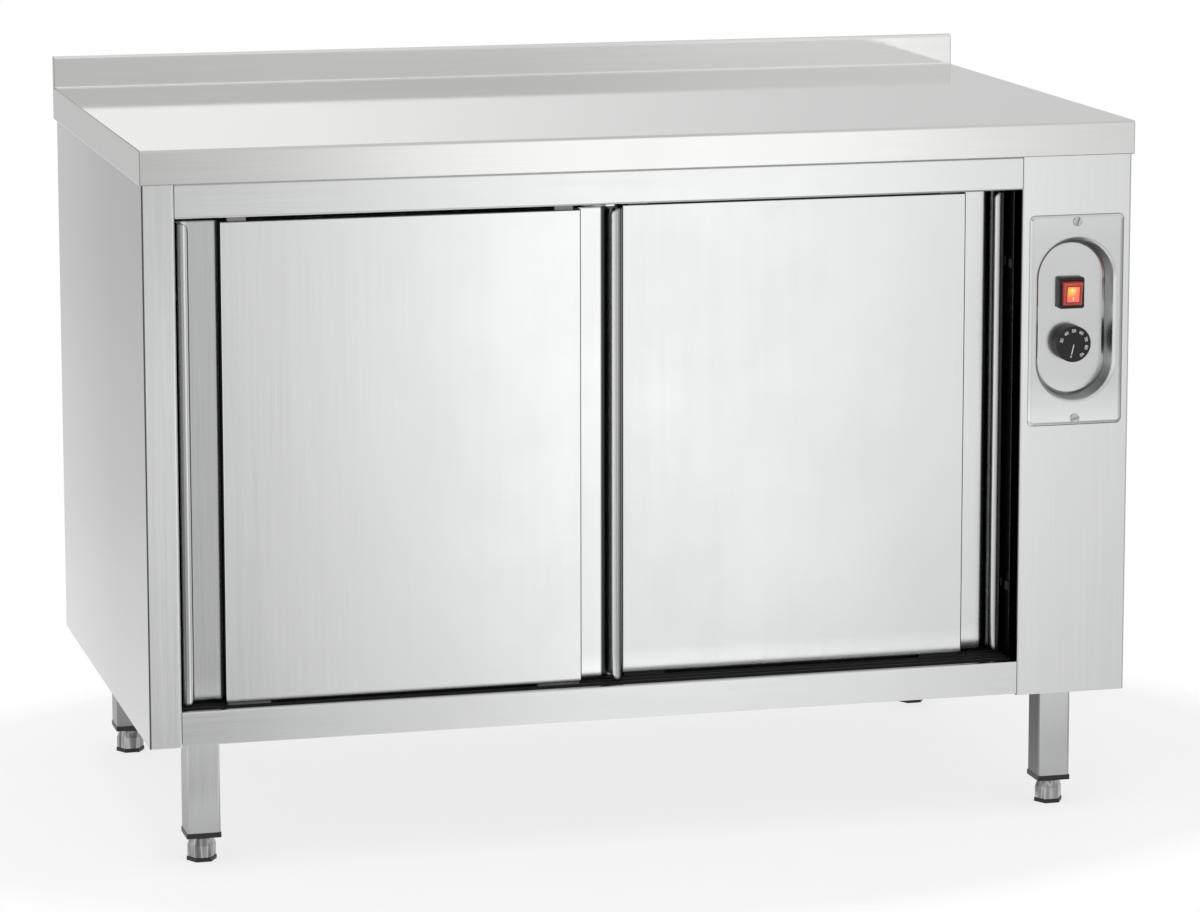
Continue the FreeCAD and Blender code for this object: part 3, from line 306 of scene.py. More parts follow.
def brushed_steel(
        name, grain="X", tone=None, roughness=None, shade=(), edge_radius=None, fall=0.0, foot=None,
        cast=None):
    """Stainless sheet with a fine brushed grain and faint handling marks.

    fall is the slope of a sheet that hangs slightly towards the front, and foot is
    the height of a lower edge that is drawn back a little from its fold.
    """
    settings = bpy.context.scene.cabinet_steel
    tone = settings.tone if tone is None else tone
    roughness = settings.roughness if roughness is None else roughness
    edge_radius = settings.edge_radius if edge_radius is None else edge_radius
    material, wiring, shader = new_material(name)
    fine = [settings.grain_fineness] * 3
    broad = [settings.grain_fineness / settings.band_width] * 3
    axis = "XYZ".index(grain)
    fine[axis] = 1.0 / settings.grain_length
    broad[axis] = fine[axis] / 3
    mixed = wiring.weighted(streaks(wiring, fine, 2.0), streaks(wiring, broad, 2.0), 0.6)
    dull, bright = shades([tone * part for part in cast or settings.cast], 0.965, 1.02)
    light = wiring.ramp(mixed, [(0.3, dull), (0.7, bright)])
    normal = wiring.node("ShaderNodeBevel", {"Radius": edge_radius}, samples=6).outputs[0]
    # shade paints shade, and highlights where its share is above 1, into the base colour; the painted shade
    # also dims the specular tint.
    if shade:
        keep = sheltered(wiring, shade, normal)
        light = wiring.product(light, keep)
        wiring.join(wiring.maths("MINIMUM", keep, 1.0), shader.inputs["Specular Tint"])
    wiring.join(light, shader.inputs["Base Color"])
    shader.inputs["Metallic"].default_value = 1.0
    wear = wiring.spread(speckle(wiring, 5.0, 4.0), 0.35, 0.7, -0.015, 0.03)
    grainy = wiring.spread(mixed, 0.3, 0.7, roughness - 0.03, roughness + 0.04)
    wiring.join(wiring.maths("ADD", grainy, wear, clamp=True), shader.inputs["Roughness"])
    if fall:
        normal = leaning(wiring, wiring.maths("MULTIPLY", wiring.places()["Y"], fall), normal)
    if foot is not None:
        near = wiring.spread(wiring.places()["Z"], foot, foot + settings.hem_reach, 1.0, 0.0)
        rise = settings.hem_lean * settings.hem_reach / 2
        drawn = wiring.maths("MULTIPLY", wiring.maths("MULTIPLY", near, near), rise)
        normal = leaning(wiring, drawn, normal)
    wiring.join(wiring.relief(mixed, 0.06, 0.0002, normal), shader.inputs["Normal"])
    return material


def plain_metal(name, colour, roughness):
    """Zinc, aluminium or nickel with a fine even speckle."""
    material, wiring, shader = new_material(name)
    fine = speckle(wiring, 700.0)
    both = wiring.weighted(fine, speckle(wiring, 18.0), 0.5)
    low, high = shades(colour, 0.88, 1.08)
    wiring.join(wiring.ramp(both, [(0.3, low), (0.7, high)]), shader.inputs["Base Color"])
    shader.inputs["Metallic"].default_value = 1.0
    rough = wiring.spread(both, 0.3, 0.7, roughness - 0.05, roughness + 0.06)
    wiring.join(rough, shader.inputs["Roughness"])
    wiring.join(wiring.relief(fine, 0.08, 0.0002), shader.inputs["Normal"])
    return material


def bright_nickel(name):
    """Polished hexagon bar with upright dark and bright streaks painted into its colour, painted
    reflections, which also give it a faint bump.
    """
    material, wiring, shader = new_material(name)
    # Upright streaks painted into the colour as painted reflections, also used for a faint bump.
    marks = streaks(wiring, (95.0, 95.0, 12.0), 1.0)
    wiring.join(
        wiring.ramp(marks, [(0.36, 0.15), (0.46, 0.25), (0.52, 0.52), (0.57, 0.34), (0.66, 0.24)]),
        shader.inputs["Base Color"])
    shader.inputs["Metallic"].default_value = 1.0
    shader.inputs["Roughness"].default_value = 0.12
    normal = wiring.node("ShaderNodeBevel", {"Radius": 0.0012}, samples=6).outputs[0]
    wiring.join(wiring.relief(marks, 0.1, 0.0003, normal), shader.inputs["Normal"])
    return material


def moulded_plastic(name, colour, roughness, fineness=1400.0, bump_strength=0.12):
    """Moulded plastic or rubber with a fine spark-eroded grain."""
    material, wiring, shader = new_material(name)
    pores = speckle(wiring, fineness, 2.0)
    low, high = shades(colour, 0.85, 1.15)
    tint = wiring.ramp(speckle(wiring, 40.0), [(0.35, low), (0.65, high)])
    wiring.join(tint, shader.inputs["Base Color"])
    rough = wiring.spread(pores, 0.3, 0.7, roughness - 0.05, roughness + 0.08)
    wiring.join(rough, shader.inputs["Roughness"])
    wiring.join(wiring.relief(pores, bump_strength, 0.0003), shader.inputs["Normal"])
    return material


def mineral_wool(name):
    """Pressed wool board with tangled fibres."""
    material, wiring, shader = new_material(name)
    both = wiring.weighted(streaks(wiring, (900.0, 160.0, 160.0), 6.0), speckle(wiring, 60.0, 4.0), 0.6)
    wiring.join(
        wiring.ramp(both, [(0.3, (0.36, 0.29, 0.13, 1.0)), (0.7, (0.66, 0.58, 0.34, 1.0))]),
        shader.inputs["Base Color"])
    shader.inputs["Roughness"].default_value = 0.95
    wiring.join(wiring.relief(both, 0.7, 0.002), shader.inputs["Normal"])
    return material


def lit_lens(name, glow):
    """Translucent lens over a small neon lamp: hottest at its upper left."""
    material, wiring, shader = new_material(name)
    low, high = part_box("rocker")
    coords = wiring.node("ShaderNodeTexCoord")
    offset = wiring.node("ShaderNodeVectorMath", operation="DISTANCE")
    wiring.join(coords.outputs["Object"], offset.inputs[0])
    across_share, up_share = 0.40, 0.62
    offset.inputs[1].default_value = (
        low.x + (high.x - low.x) * across_share, low.y, low.z + (high.z - low.z) * up_share)
    grain = streaks(wiring, (900.0, 900.0, 500.0), 2.0)
    shade = wiring.maths("ADD", offset.outputs["Value"], wiring.maths("MULTIPLY", grain, 0.0022))
    reach = wiring.spread(shade, 0.001, 0.014, 0.0, 1.0)
    red, green, blue = glow
    colour = wiring.ramp(reach, [
        (0.0, (1.0, 0.66, 0.16, 1.0)), (0.25, (0.95, 0.42, 0.06, 1.0)),
        (0.6, (red * 0.92, green * 1.1, blue * 2.6, 1.0)),
        (1.0, (red * 0.8, green * 0.75, blue * 3.4, 1.0))])
    wiring.join(colour, shader.inputs["Base Color"])
    wiring.join(colour, shader.inputs["Emission Color"])
    shader.inputs["Emission Strength"].default_value = 0.75
    shader.inputs["Roughness"].default_value = 0.22
    shader.inputs["Coat Weight"].default_value = 0.3
    return material


def lit_mark(name, colour):
    """White print on the lens, lit from behind."""
    material = moulded_plastic(name, colour, 0.5)
    shader = next(n for n in material.node_tree.nodes if n.type == "BSDF_PRINCIPLED")
    shader.inputs["Emission Color"].default_value = colour + (1.0,)
    shader.inputs["Emission Strength"].default_value = 0.35
    return material


def dress(material, *nodes):
    """Gives CAD nodes one material."""
    for name in nodes:
        data = frame["nodes"][name].data
        data.materials.clear()
        data.materials.append(material)


def add_copy(target, part, place):
    """Moves a finished form to its place and adds it to another."""
    bmesh.ops.transform(part, matrix=place, verts=part.verts)
    mesh = bpy.data.meshes.new("copy")
    part.to_mesh(mesh)
    part.free()
    target.from_mesh(mesh)
    bpy.data.meshes.remove(mesh)


def add_piece(name, mesh_form, material, body):
    """Turns a bmesh into a finished piece that rides on a body."""
    bmesh.ops.remove_doubles(mesh_form, verts=mesh_form.verts, dist=0.000005)
    bmesh.ops.recalc_face_normals(mesh_form, faces=mesh_form.faces)
    mesh = bpy.data.meshes.new(name)
    mesh_form.to_mesh(mesh)
    mesh_form.free()
    mesh.materials.append(material)
    piece = bpy.data.objects.new(name, mesh)
    bpy.context.scene.collection.objects.link(piece)
    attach(piece, body)


def raised_disc(mesh_form, segments, radius, foot, height, edge, keep=None):
    """A low disc or hexagon along +Z with a bevelled crown.

    keep is the place of a cut along Y and the side of it that stays.
    """
    made = bmesh.ops.create_circle(mesh_form, cap_ends=True, segments=segments, radius=radius)
    face = made["verts"][0].link_faces[0]
    if keep:
        geometry = made["verts"] + list(face.edges) + [face]
        cut = bmesh.ops.bisect_plane(
            mesh_form, geom=geometry, plane_co=(0.0, keep[0], 0.0), plane_no=(0.0, keep[1], 0.0),
            clear_inner=True)
        face = next(g for g in cut["geom"] if isinstance(g, bmesh.types.BMFace))
    bmesh.ops.translate(mesh_form, vec=(0.0, 0.0, foot), verts=face.verts)
    grown = bmesh.ops.extrude_face_region(mesh_form, geom=[face])
    crown = next(g for g in grown["geom"] if isinstance(g, bmesh.types.BMFace))
    bmesh.ops.translate(mesh_form, vec=(0.0, 0.0, height), verts=crown.verts)
    bmesh.ops.bevel(
        mesh_form, geom=list(crown.edges), offset=edge, affect="EDGES", segments=2, profile=0.5,
        material=-1)


def slotted_screw(mesh_form, radius, rise, slot):
    """A slotted screw head with its crown towards +Z: a seat and two halves beside the slot."""
    segments = 36
    seat_height, seat_edge = rise * 0.4, rise * 0.05
    half_foot, half_height, half_edge = rise * 0.3, rise * 0.7, rise * 0.35
    raised_disc(mesh_form, segments, radius, 0.0, seat_height, seat_edge)
    for side in (1.0, -1.0):
        keep = (side * slot / 2, side)
        raised_disc(mesh_form, segments, radius, half_foot, half_height, half_edge, keep)


def standing(place, turn):
    """Stands a form that lies along +Z on a face that looks towards -Y."""
    return Matrix.Translation(place) @ Matrix.Rotation(-turn, 4, "Y") @ Matrix.Rotation(math.pi / 2, 4, "X")


def thicken(mesh_form, faces, rise):
    """Raises faces towards -Y with walls round them."""
    grown = bmesh.ops.extrude_face_region(mesh_form, geom=faces)
    lifted = [g for g in grown["geom"] if isinstance(g, bmesh.types.BMVert)]
    bmesh.ops.translate(mesh_form, vec=(0.0, -rise, 0.0), verts=lifted)


def printed_bar(mesh_form, start, end, width, rise):
    """A round-ended printed line on a face that looks towards -Y."""
    run = end - start
    turn = math.atan2(run.z, run.x)
    tip = bmesh.ops.create_circle(mesh_form, cap_ends=True, segments=20, radius=width / 2)
    verts = tip["verts"]
    for vert in verts:
        if vert.co.x > 0:
            vert.co.x += run.length
    bmesh.ops.transform(mesh_form, matrix=standing(start, turn), verts=verts)
    thicken(mesh_form, [verts[0].link_faces[0]], rise)


def printed_text(mesh_form, words, height, place, turn, rise):
    """Printed characters, centred on a place of a face that looks towards -Y."""
    curve = bpy.data.curves.new("print_" + words, "FONT")
    curve.body = words
    curve.size = height * FONT_SIZE_SHARE
    curve.align_x = "CENTER"
    curve.align_y = "CENTER"
    curve.extrude = rise / 2
    curve.offset = bpy.context.scene.cabinet_controls.print_weight
    curve.resolution_u = 3
    writer = bpy.data.objects.new("print_" + words, curve)
    bpy.context.scene.collection.objects.link(writer)
    bpy.context.view_layer.update()
    mesh = bpy.data.meshes.new_from_object(writer.evaluated_get(bpy.context.evaluated_depsgraph_get()))
    bpy.data.objects.remove(writer)
    bpy.data.curves.remove(curve)
    start = len(mesh_form.verts)
    mesh_form.from_mesh(mesh)
    bpy.data.meshes.remove(mesh)
    mesh_form.verts.ensure_lookup_table()
    bmesh.ops.transform(mesh_form, matrix=standing(place, turn), verts=mesh_form.verts[start:])


class CABINET_OT_worktop(bpy.types.Operator):
    """Brushes the worktop and the hat sections under it"""
    bl_idname = "cabinet.worktop"
    bl_label = "Worktop"

    def execute(self, context):
        low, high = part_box("worktop")
        # Painted shade and painted highlights on the worktop: the upstand's top dimmed; dark lines along
        # the left front corner, the left top edge and the front skirt's lower edge; the front top edge
        # dimmed with a painted light line at the upstand's foot; a painted light line along the left
        # skirt's lower edge; and the front's reflection peak dimmed in the middle.
        head = ((high.z - 0.010, 1.0), (high.z - 0.004, 0.9), (high.z, 0.9))
        fold = ((low.y, 0.06), (high.y, 0.06))
        lip_shade = ((low.y, 0.25), (high.y, 0.6))
        crest_shade_and_highlight = ((low.y, 0.92), (high.y - 0.05, 0.92), (high.y - 0.02, 1.22), (high.y, 1.22))
        under = ((low.y, 0.4), (high.y, 0.4))
        hem_highlight = ((low.y, 1.22), (high.y, 1.22))
        glare_shade = ((-0.3, 1.0), (-0.15, 0.95), (0.0, 0.92), (0.15, 0.95), (0.3, 1.0))
        shade = [
            ("Z", "Z", head), ("-X -Y", "Y", fold), ("-X Z", "Y", lip_shade), ("-Y Z", "Y", crest_shade_and_highlight),
            ("-Y -Z", "Y", under), ("-X -Z", "Y", hem_highlight), ("-Y", "X", glare_shade)]
        settings = context.scene.cabinet_steel
        dress(brushed_steel(
            "worktop_steel", "X", 0.80, 0.045, shade, settings.fold_width, settings.worktop_fall,
            cast=(1.0, 0.996, 0.986)), "worktop")
        dress(brushed_steel("stiffener_steel", "X", tone=0.7, roughness=0.2), "worktop_stiffeners")
        return {"FINISHED"}


class CABINET_OT_body(bpy.types.Operator):
    """Brushes the body's panels and rails"""
    bl_idname = "cabinet.body"
    bl_label = "Body panels"

    def execute(self, context):
        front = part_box("right_side_panel")[0].y
        # Painted shade: the right jamb's side in the door gap darkened, a dark line along the left front
        # corner, the left side darker towards the front, and the front post painted lighter low down and in
        # its middle and darker at the top.
        jamb_shade = ("-X", "Y", (
            (front, 0.30), (front + 0.003, 0.14), (front + 0.008, 0.05), (front + 0.03, 0.03)))
        fold = ("-X -Y", "Y", ((front, 0.09), (front + 0.03, 0.09)))
        side = ("-X", "Y", ((front, 0.86), (front + 0.25, 0.88), (front + 0.66, 0.98)))
        post_light_and_shade = ("-Y", "Z", (
            (0.16, 1.03), (0.29, 1.09), (0.42, 1.12), (0.55, 1.10), (0.67, 0.99), (0.80, 0.92)))
        hairline = 0.0002
        fold_width = context.scene.cabinet_steel.fold_width
        left = brushed_steel("left_side_steel", "Z", 0.87, 0.13, [fold, side, post_light_and_shade], fold_width)
        dress(left, "left_side_panel")
        dress(brushed_steel("right_side_steel", "Z", 0.84, 0.13, [jamb_shade], hairline), "right_side_panel")
        dress(brushed_steel("rail_steel", "X", None, 0.13, (), hairline), "front_top_rail")
        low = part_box("front_bottom_rail")[0].y
        # Painted shade on the bottom rail's ledge, darker towards the back under the doors.
        ledge_shade = ("Z", "Y", (
            (low, 0.9), (low + 0.004, 0.6), (low + 0.010, 0.35), (low + 0.018, 0.10), (low + 0.030, 0.04)))
        dress(brushed_steel("ledge_steel", "X", 0.80, 0.13, [ledge_shade], hairline), "front_bottom_rail")
        dress(brushed_steel("rear_panel_steel", "Z", tone=0.74, roughness=0.3), "rear_panel")
        dress(brushed_steel("tray_steel", "X", tone=0.7, roughness=0.32), "base_tray")
        return {"FINISHED"}


class CABINET_OT_doors(bpy.types.Operator):
    """Brushes both doors"""
    bl_idname = "cabinet.doors"
    bl_label = "Doors"

    def execute(self, context):
        settings = context.scene.cabinet_steel
        pan_fold, line_half, pan_edge = 0.0042, 0.0008, 0.0009
        grip_width, groove_width, edge_blend = 0.0135, 0.008, 0.0005
        # The right door's steel gets a darker tone than the left's, a painted shade on a copy of one steel,
        # and dim is a painted shade on the left door's left strip.
        for door, tone, dim in (("left", 0.84, 0.78), ("right", 0.77, 1.0)):
            low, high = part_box(door + "_door_panel")
            hem_foot = low.z if door == "right" else None
            line = low.y + pan_fold
            # Painted shade on the panel: its side towards -X dark with a lighter line at its fold, and a
            # dark line along its right edge.
            side = ("-X", "Y", (
                (low.y, 0.05), (line - line_half, 0.04), (line, 0.35), (line + line_half, 0.05),
                (high.y, 0.03)))
            ridge_shade = ("X -Y", "Y", ((low.y, 0.22), (high.y, 0.22)))
            panel = brushed_steel(
                door + "_panel_steel", "Z", tone, 0.12, [side, ridge_shade], pan_edge, foot=hem_foot)
            dress(panel, door + "_door_panel")
            low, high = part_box(door + "_door_shell")
            # Painted shade on the shell: the grip's pocket dark beyond its front, a painted shadow in the
            # groove beside the right grip, the right grip darker towards its rolled edge, the left door's
            # left strip dimmed, and on the left door a left grip painted dark and then with a painted
            # highlight.
            deep_shade = ("-X", "Y", (
                (low.y, 1.0), (low.y + 0.0035, 1.0), (low.y + 0.0055, 0.06), (high.y, 0.03)))
            roll = (
                (low.x, 0.4), (low.x + 0.006, 0.5), (low.x + 0.008, 1.15), (low.x + grip_width, 1.1))
            grip = high.x - grip_width
            groove = grip - groove_width
            strip_light_and_shade = ("-Y", "X", (roll if door == "left" else ()) + (
                (low.x + 0.015, dim), (low.x + 0.05, dim), (low.x + 0.1, 1.0),
                (groove - edge_blend, 1.0), (groove, 0.05), (grip - edge_blend, 0.05), (grip, 0.95),
                (high.x - 0.006, 0.55), (high.x, 0.12)))
            shell = brushed_steel(
                door + "_shell_steel", "Z", tone, 0.12, [deep_shade, strip_light_and_shade], settings.grip_round, foot=low.z)
            dress(shell, door + "_door_shell")
        return {"FINISHED"}


class CABINET_OT_running_gear(bpy.types.Operator):
    """Finishes the track, hangers, rollers, guides and buffers of the doors"""
    bl_idname = "cabinet.running_gear"
    bl_label = "Running gear"

    def execute(self, context):
        dress(plain_metal("track_aluminium", (0.34, 0.34, 0.34), 0.45), "top_track")
        hangers = [door + "_door_hangers" for door in DOORS]
        dress(plain_metal("hanger_zinc", (0.36, 0.36, 0.35), 0.4), *hangers)
        rollers = [door + "_door_roller_" + side for door in DOORS for side in DOORS]
        dress(moulded_plastic("roller_nylon", (0.62, 0.61, 0.57), 0.45), *rollers)
        dress(moulded_plastic("shoe_nylon", (0.22, 0.22, 0.215), 0.5), "left_door_guides")
        # The right door's guides are the same nylon painted near black, a painted shade, since they sit in
        # shade.
        dress(moulded_plastic("shoe_nylon_painted_shade", (0.03, 0.03, 0.03), 0.5), "right_door_guides")
        dress(moulded_plastic("guide_black", (0.018, 0.018, 0.018), 0.5), "bottom_guide")
        dress(moulded_plastic("buffer_rubber", (0.02, 0.02, 0.02), 0.75, 900.0, 0.3), "door_buffers")
        return {"FINISHED"}


class CABINET_OT_cavity(bpy.types.Operator):
    """Finishes the heated cavity, its shelf and the insulation behind its walls"""
    bl_idname = "cabinet.cavity"
    bl_label = "Cavity"

    def execute(self, context):
        walls = ("left_inner_wall", "rear_inner_wall", "ceiling_panel", "cabinet_floor")
        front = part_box("cabinet_floor")[0].y
        # The lining's light tone is painted light that lifts the dark cavity.
        dress(brushed_steel("lining_steel", "X", tone=0.90, roughness=0.55), *walls)
        # The right inner wall is a darker copy of the lining, with painted shade towards -X that is darkest
        # at its front, where it shows in the door gap.
        jamb_shade = ("-X", "Y", ((front, 0.15), (front + 0.04, 0.5), (front + 0.12, 1.0)))
        dress(brushed_steel("right_lining_steel", "X", 0.72, 0.26, [jamb_shade]), "right_inner_wall")
        dress(brushed_steel("shelf_steel", "X", tone=0.74, roughness=0.22), "shelf")
        upright = brushed_steel("upright_steel", "Z", tone=0.70, roughness=0.28)
        dress(upright, "shelf_uprights", "shelf_clips")
        dress(mineral_wool("insulation_wool"), "insulation_boards")
        return {"FINISHED"}


class CABINET_OT_legs(bpy.types.Operator):
    """Finishes the legs, their caps and the feet, and adds the bolts of the leg plates"""
    bl_idname = "cabinet.legs"
    bl_label = "Legs and feet"

    def execute(self, context):
        low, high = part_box("leg_front_left")
        foot, head = low.z, high.z
        # Painted shade on the legs: darker towards the floor, the rear legs darker still under the cabinet,
        # and the front right leg's side towards -X darker.
        fall = ((foot, 0.56), (foot + 0.035, 0.68), (foot + 0.075, 0.84), (head, 0.94))
        for name in CORNERS:
            rear = 0.55 if name.startswith("rear") else 1.0
            front = [(place, value * rear) for place, value in fall]
            side = ((foot, 0.40), (head, 0.30)) if name == "front_right" else ((foot, 0.62), (head, 0.72))
            shade = [("-Y", "Z", front), ("-X", "Z", side), ("X", "Z", fall), ("Y", "Z", fall)]
            dress(brushed_steel(name + "_leg_steel", "Z", shade=shade), "leg_" + name)
        dress(moulded_plastic("cap_black", (0.007, 0.007, 0.007), 0.42), "leg_caps")
        pads = ["foot_pad_" + name for name in CORNERS]
        dress(moulded_plastic("pad_black", (0.006, 0.006, 0.006), 0.5), *pads)
        dress(bright_nickel("foot_nickel"), *["foot_" + name for name in CORNERS])
        plate_thickness = 0.003
        washer_radius, washer_height, washer_edge = 0.0085, 0.0012, 0.0003
        head_radius, head_height, head_edge = 0.0075, 0.0050, 0.0006
        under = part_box("base_tray")[0].z - plate_thickness
        inset = Vector((0.010, 0.010, 0.0))
        bolts = bmesh.new()
        for name in CORNERS:
            low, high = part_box("leg_" + name)
            for corner in (low + inset, high - inset):
                bolt = bmesh.new()
                raised_disc(bolt, 32, washer_radius, 0.0, washer_height, washer_edge)
                raised_disc(bolt, 6, head_radius, washer_height, head_height, head_edge)
                flip = Matrix.Translation((corner.x, corner.y, under)) @ Matrix.Rotation(math.pi, 4, "X")
                add_copy(bolts, bolt, flip)
        add_piece("leg_bolts", bolts, plain_metal("bolt_zinc", (0.58, 0.58, 0.56), 0.34), "cabinet")
        return {"FINISHED"}


class CABINET_OT_control_plate(bpy.types.Operator):
    """Finishes the pressed control plate and adds its two slotted screws"""
    bl_idname = "cabinet.control_plate"
    bl_label = "Control plate"

    def execute(self, context):
        settings = context.scene.cabinet_controls
        low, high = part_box("control_plate")
        # Painted shade on the recess walls, darker the deeper they lie, and painted light on the plate's
        # face, brightest at the bottom and dimmest in its middle.
        wall_shade = ((low.y, 0.95), (low.y + 0.003, 0.82), (low.y + 0.006, 0.52), (high.y, 0.42))
        face = (
            (low.z, 1.16), (low.z + 0.025, 1.02), (low.z + 0.055, 0.88), (low.z + 0.12, 0.85),
            (high.z - 0.03, 0.88), (high.z, 0.94))
        shade = [("-X", "Y", wall_shade), ("Z", "Y", wall_shade), ("-Z", "Y", wall_shade), ("-Y", "Z", face)]
        plate = brushed_steel("control_plate_steel", "Z", 0.84, 0.2, shade, settings.plate_edge)
        dress(plate, "control_plate")
        head_radius, head_rise, slot_width = 0.0058, 0.0016, 0.0013
        inset = 0.0085
        screws = bmesh.new()
        for height, turn in ((high.z - inset, math.radians(72.0)), (low.z + inset, math.radians(15.0))):
            screw = bmesh.new()
            slotted_screw(screw, head_radius, head_rise, slot_width)
            place = Matrix.Translation(((low.x + high.x) / 2, low.y, height))
            stand = Matrix.Rotation(math.pi / 2, 4, "X") @ Matrix.Rotation(turn, 4, "Z")
            add_copy(screws, screw, place @ stand)
        nickel = plain_metal("screw_nickel", (0.60, 0.60, 0.59), 0.14)
        add_piece("control_plate_screws", screws, nickel, "cabinet")
        return {"FINISHED"}


class CABINET_OT_rocker(bpy.types.Operator):
    """Finishes the switch and adds the rocker's lit window with its two marks"""
    bl_idname = "cabinet.rocker"
    bl_label = "Rocker switch"

    def execute(self, context):
        settings = context.scene.cabinet_controls
        dress(moulded_plastic("bezel_black", tuple(settings.knob_black), 0.4), "switch_housing")
        dress(moulded_plastic("rocker_red", tuple(settings.rocker_red), 0.28), "rocker")
        joint = next(j for j in frame["joints"] if j["name"] == "rocker_tilt")
        pivot = Vector(joint["pos_m"])
        rest_tilt = math.radians(8.0)
        tilt = Matrix.Translation(pivot) @ Matrix.Rotation(rest_tilt, 4, "X")
        nose, half, dip = 0.0085, 0.0137, 0.0012

        def plate(form, columns, across, up, wide, high, lift):
            made = bmesh.ops.create_grid(form, x_segments=columns, y_segments=8, size=0.5)
            for vert in made["verts"]:
                x, z = across + vert.co.x * wide, up + vert.co.y * high
                vert.co = (x, -nose + dip * (1.0 - abs(z) / half) - lift, z)

        lens_width, lens_height, lens_rise = 0.0150, 0.0185, 0.0004
        lens = bmesh.new()
        plate(lens, 6, 0.0, 0.0, lens_width, lens_height, 0.0)
        thicken(lens, lens.faces[:], lens_rise)
        bmesh.ops.transform(lens, matrix=tilt, verts=lens.verts)
        add_piece("rocker_window", lens, lit_lens("lamp_window", settings.lamp_glow), "power_rocker")
        line_width, line_rise, line_across, line_up = 0.0010, 0.00008, 0.0088, 0.0103
        frame_width, frame_height = 0.0186, 0.0212
        border = bmesh.new()
        for up in (line_up, -line_up):
            plate(border, 4, 0.0, up, frame_width, line_width, line_rise)
        for across in (line_across, -line_across):
            plate(border, 4, across, 0.0, line_width, frame_height, line_rise)
        bmesh.ops.transform(border, matrix=tilt, verts=border.verts)
        thicken(border, border.faces[:], line_rise)
        line_red = moulded_plastic("rocker_line_dark", (0.24, 0.075, 0.06), 0.4)
        add_piece("rocker_line", border, line_red, "power_rocker")
        mark_height, mark_place, mark_rise, mark_dip_share = 0.0050, 0.0058, 0.00016, 0.55
        mark_depth = -nose - lens_rise + dip * mark_dip_share
        marks = bmesh.new()
        for letter, up in (("O", mark_place), ("I", -mark_place)):
            printed_text(marks, letter, mark_height, Vector((0.0, mark_depth, up)), 0.0, mark_rise)
        bmesh.ops.transform(marks, matrix=tilt, verts=marks.verts)
        add_piece("rocker_marks", marks, lit_mark("mark_white", tuple(settings.mark_white)), "power_rocker")
        return {"FINISHED"}


class CABINET_OT_knob(bpy.types.Operator):
    """Finishes the thermostat's knob and prints its scale and pointer"""
    bl_idname = "cabinet.knob"
    bl_label = "Knob and scale"

    def execute(self, context):
        settings = context.scene.cabinet_controls
        dress(moulded_plastic("knob_black", tuple(settings.knob_black), 0.42), "thermostat_knob")
        dress(plain_metal("shaft_zinc", (0.6, 0.6, 0.58), 0.35), "thermostat_shaft")
        low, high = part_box("thermostat_knob")
        centre = Vector(((low.x + high.x) / 2, low.y, (low.z + high.z) / 2))
        numeral_height, rise = settings.numeral_height, settings.print_rise
        numbers, first_angle, angle_step = range(30, 100, 10), 162.0, 35.5
        prints = bmesh.new()
        for step, number in enumerate(numbers):
            turn = math.radians(first_angle - angle_step * step)
            out = Vector((math.cos(turn), 0.0, math.sin(turn)))
            place = centre + out * settings.numeral_radius
            printed_text(prints, str(number), numeral_height, place, turn - math.pi / 2, rise)
        rest = math.radians(257.0)
        down = Vector((math.cos(rest), 0.0, math.sin(rest)))
        bar_start, bar_end, bar_width = 0.0008, 0.0125, 0.0011
        nought_radius, nought_share = 0.0155, 0.72
        printed_bar(prints, centre + down * bar_start, centre + down * bar_end, bar_width, rise)
        place = centre + down * nought_radius
        printed_text(prints, "0", numeral_height * nought_share, place, rest + math.pi / 2, rise)
        white = moulded_plastic("scale_white", tuple(settings.mark_white), 0.5)
        add_piece("knob_scale", prints, white, "thermostat_control")
        return {"FINISHED"}


class CABINET_OT_heater(bpy.types.Operator):
    """Finishes the fan heater and the electrical parts"""
    bl_idname = "cabinet.heater"
    bl_label = "Heater and wiring"

    def execute(self, context):
        dress(brushed_steel("heater_box_steel", "Y", tone=0.68, roughness=0.34), "heater_box")
        dress(plain_metal("element_sheath", (0.22, 0.20, 0.19), 0.5), "heating_element")
        dress(plain_metal("fan_aluminium", (0.66, 0.66, 0.66), 0.38), "fan_impeller")
        dress(plain_metal("motor_zinc", (0.50, 0.50, 0.49), 0.4), "fan_motor")
        dress(plain_metal("thermostat_zinc", (0.55, 0.54, 0.50), 0.38), "thermostat")
        dress(moulded_plastic("terminal_white", (0.66, 0.65, 0.60), 0.45), "terminal_block")
        dress(moulded_plastic("loom_grey", (0.06, 0.06, 0.065), 0.6), "wiring_loom")
        dress(moulded_plastic("gland_black", (0.02, 0.02, 0.021), 0.45), "cable_gland")
        return {"FINISHED"}


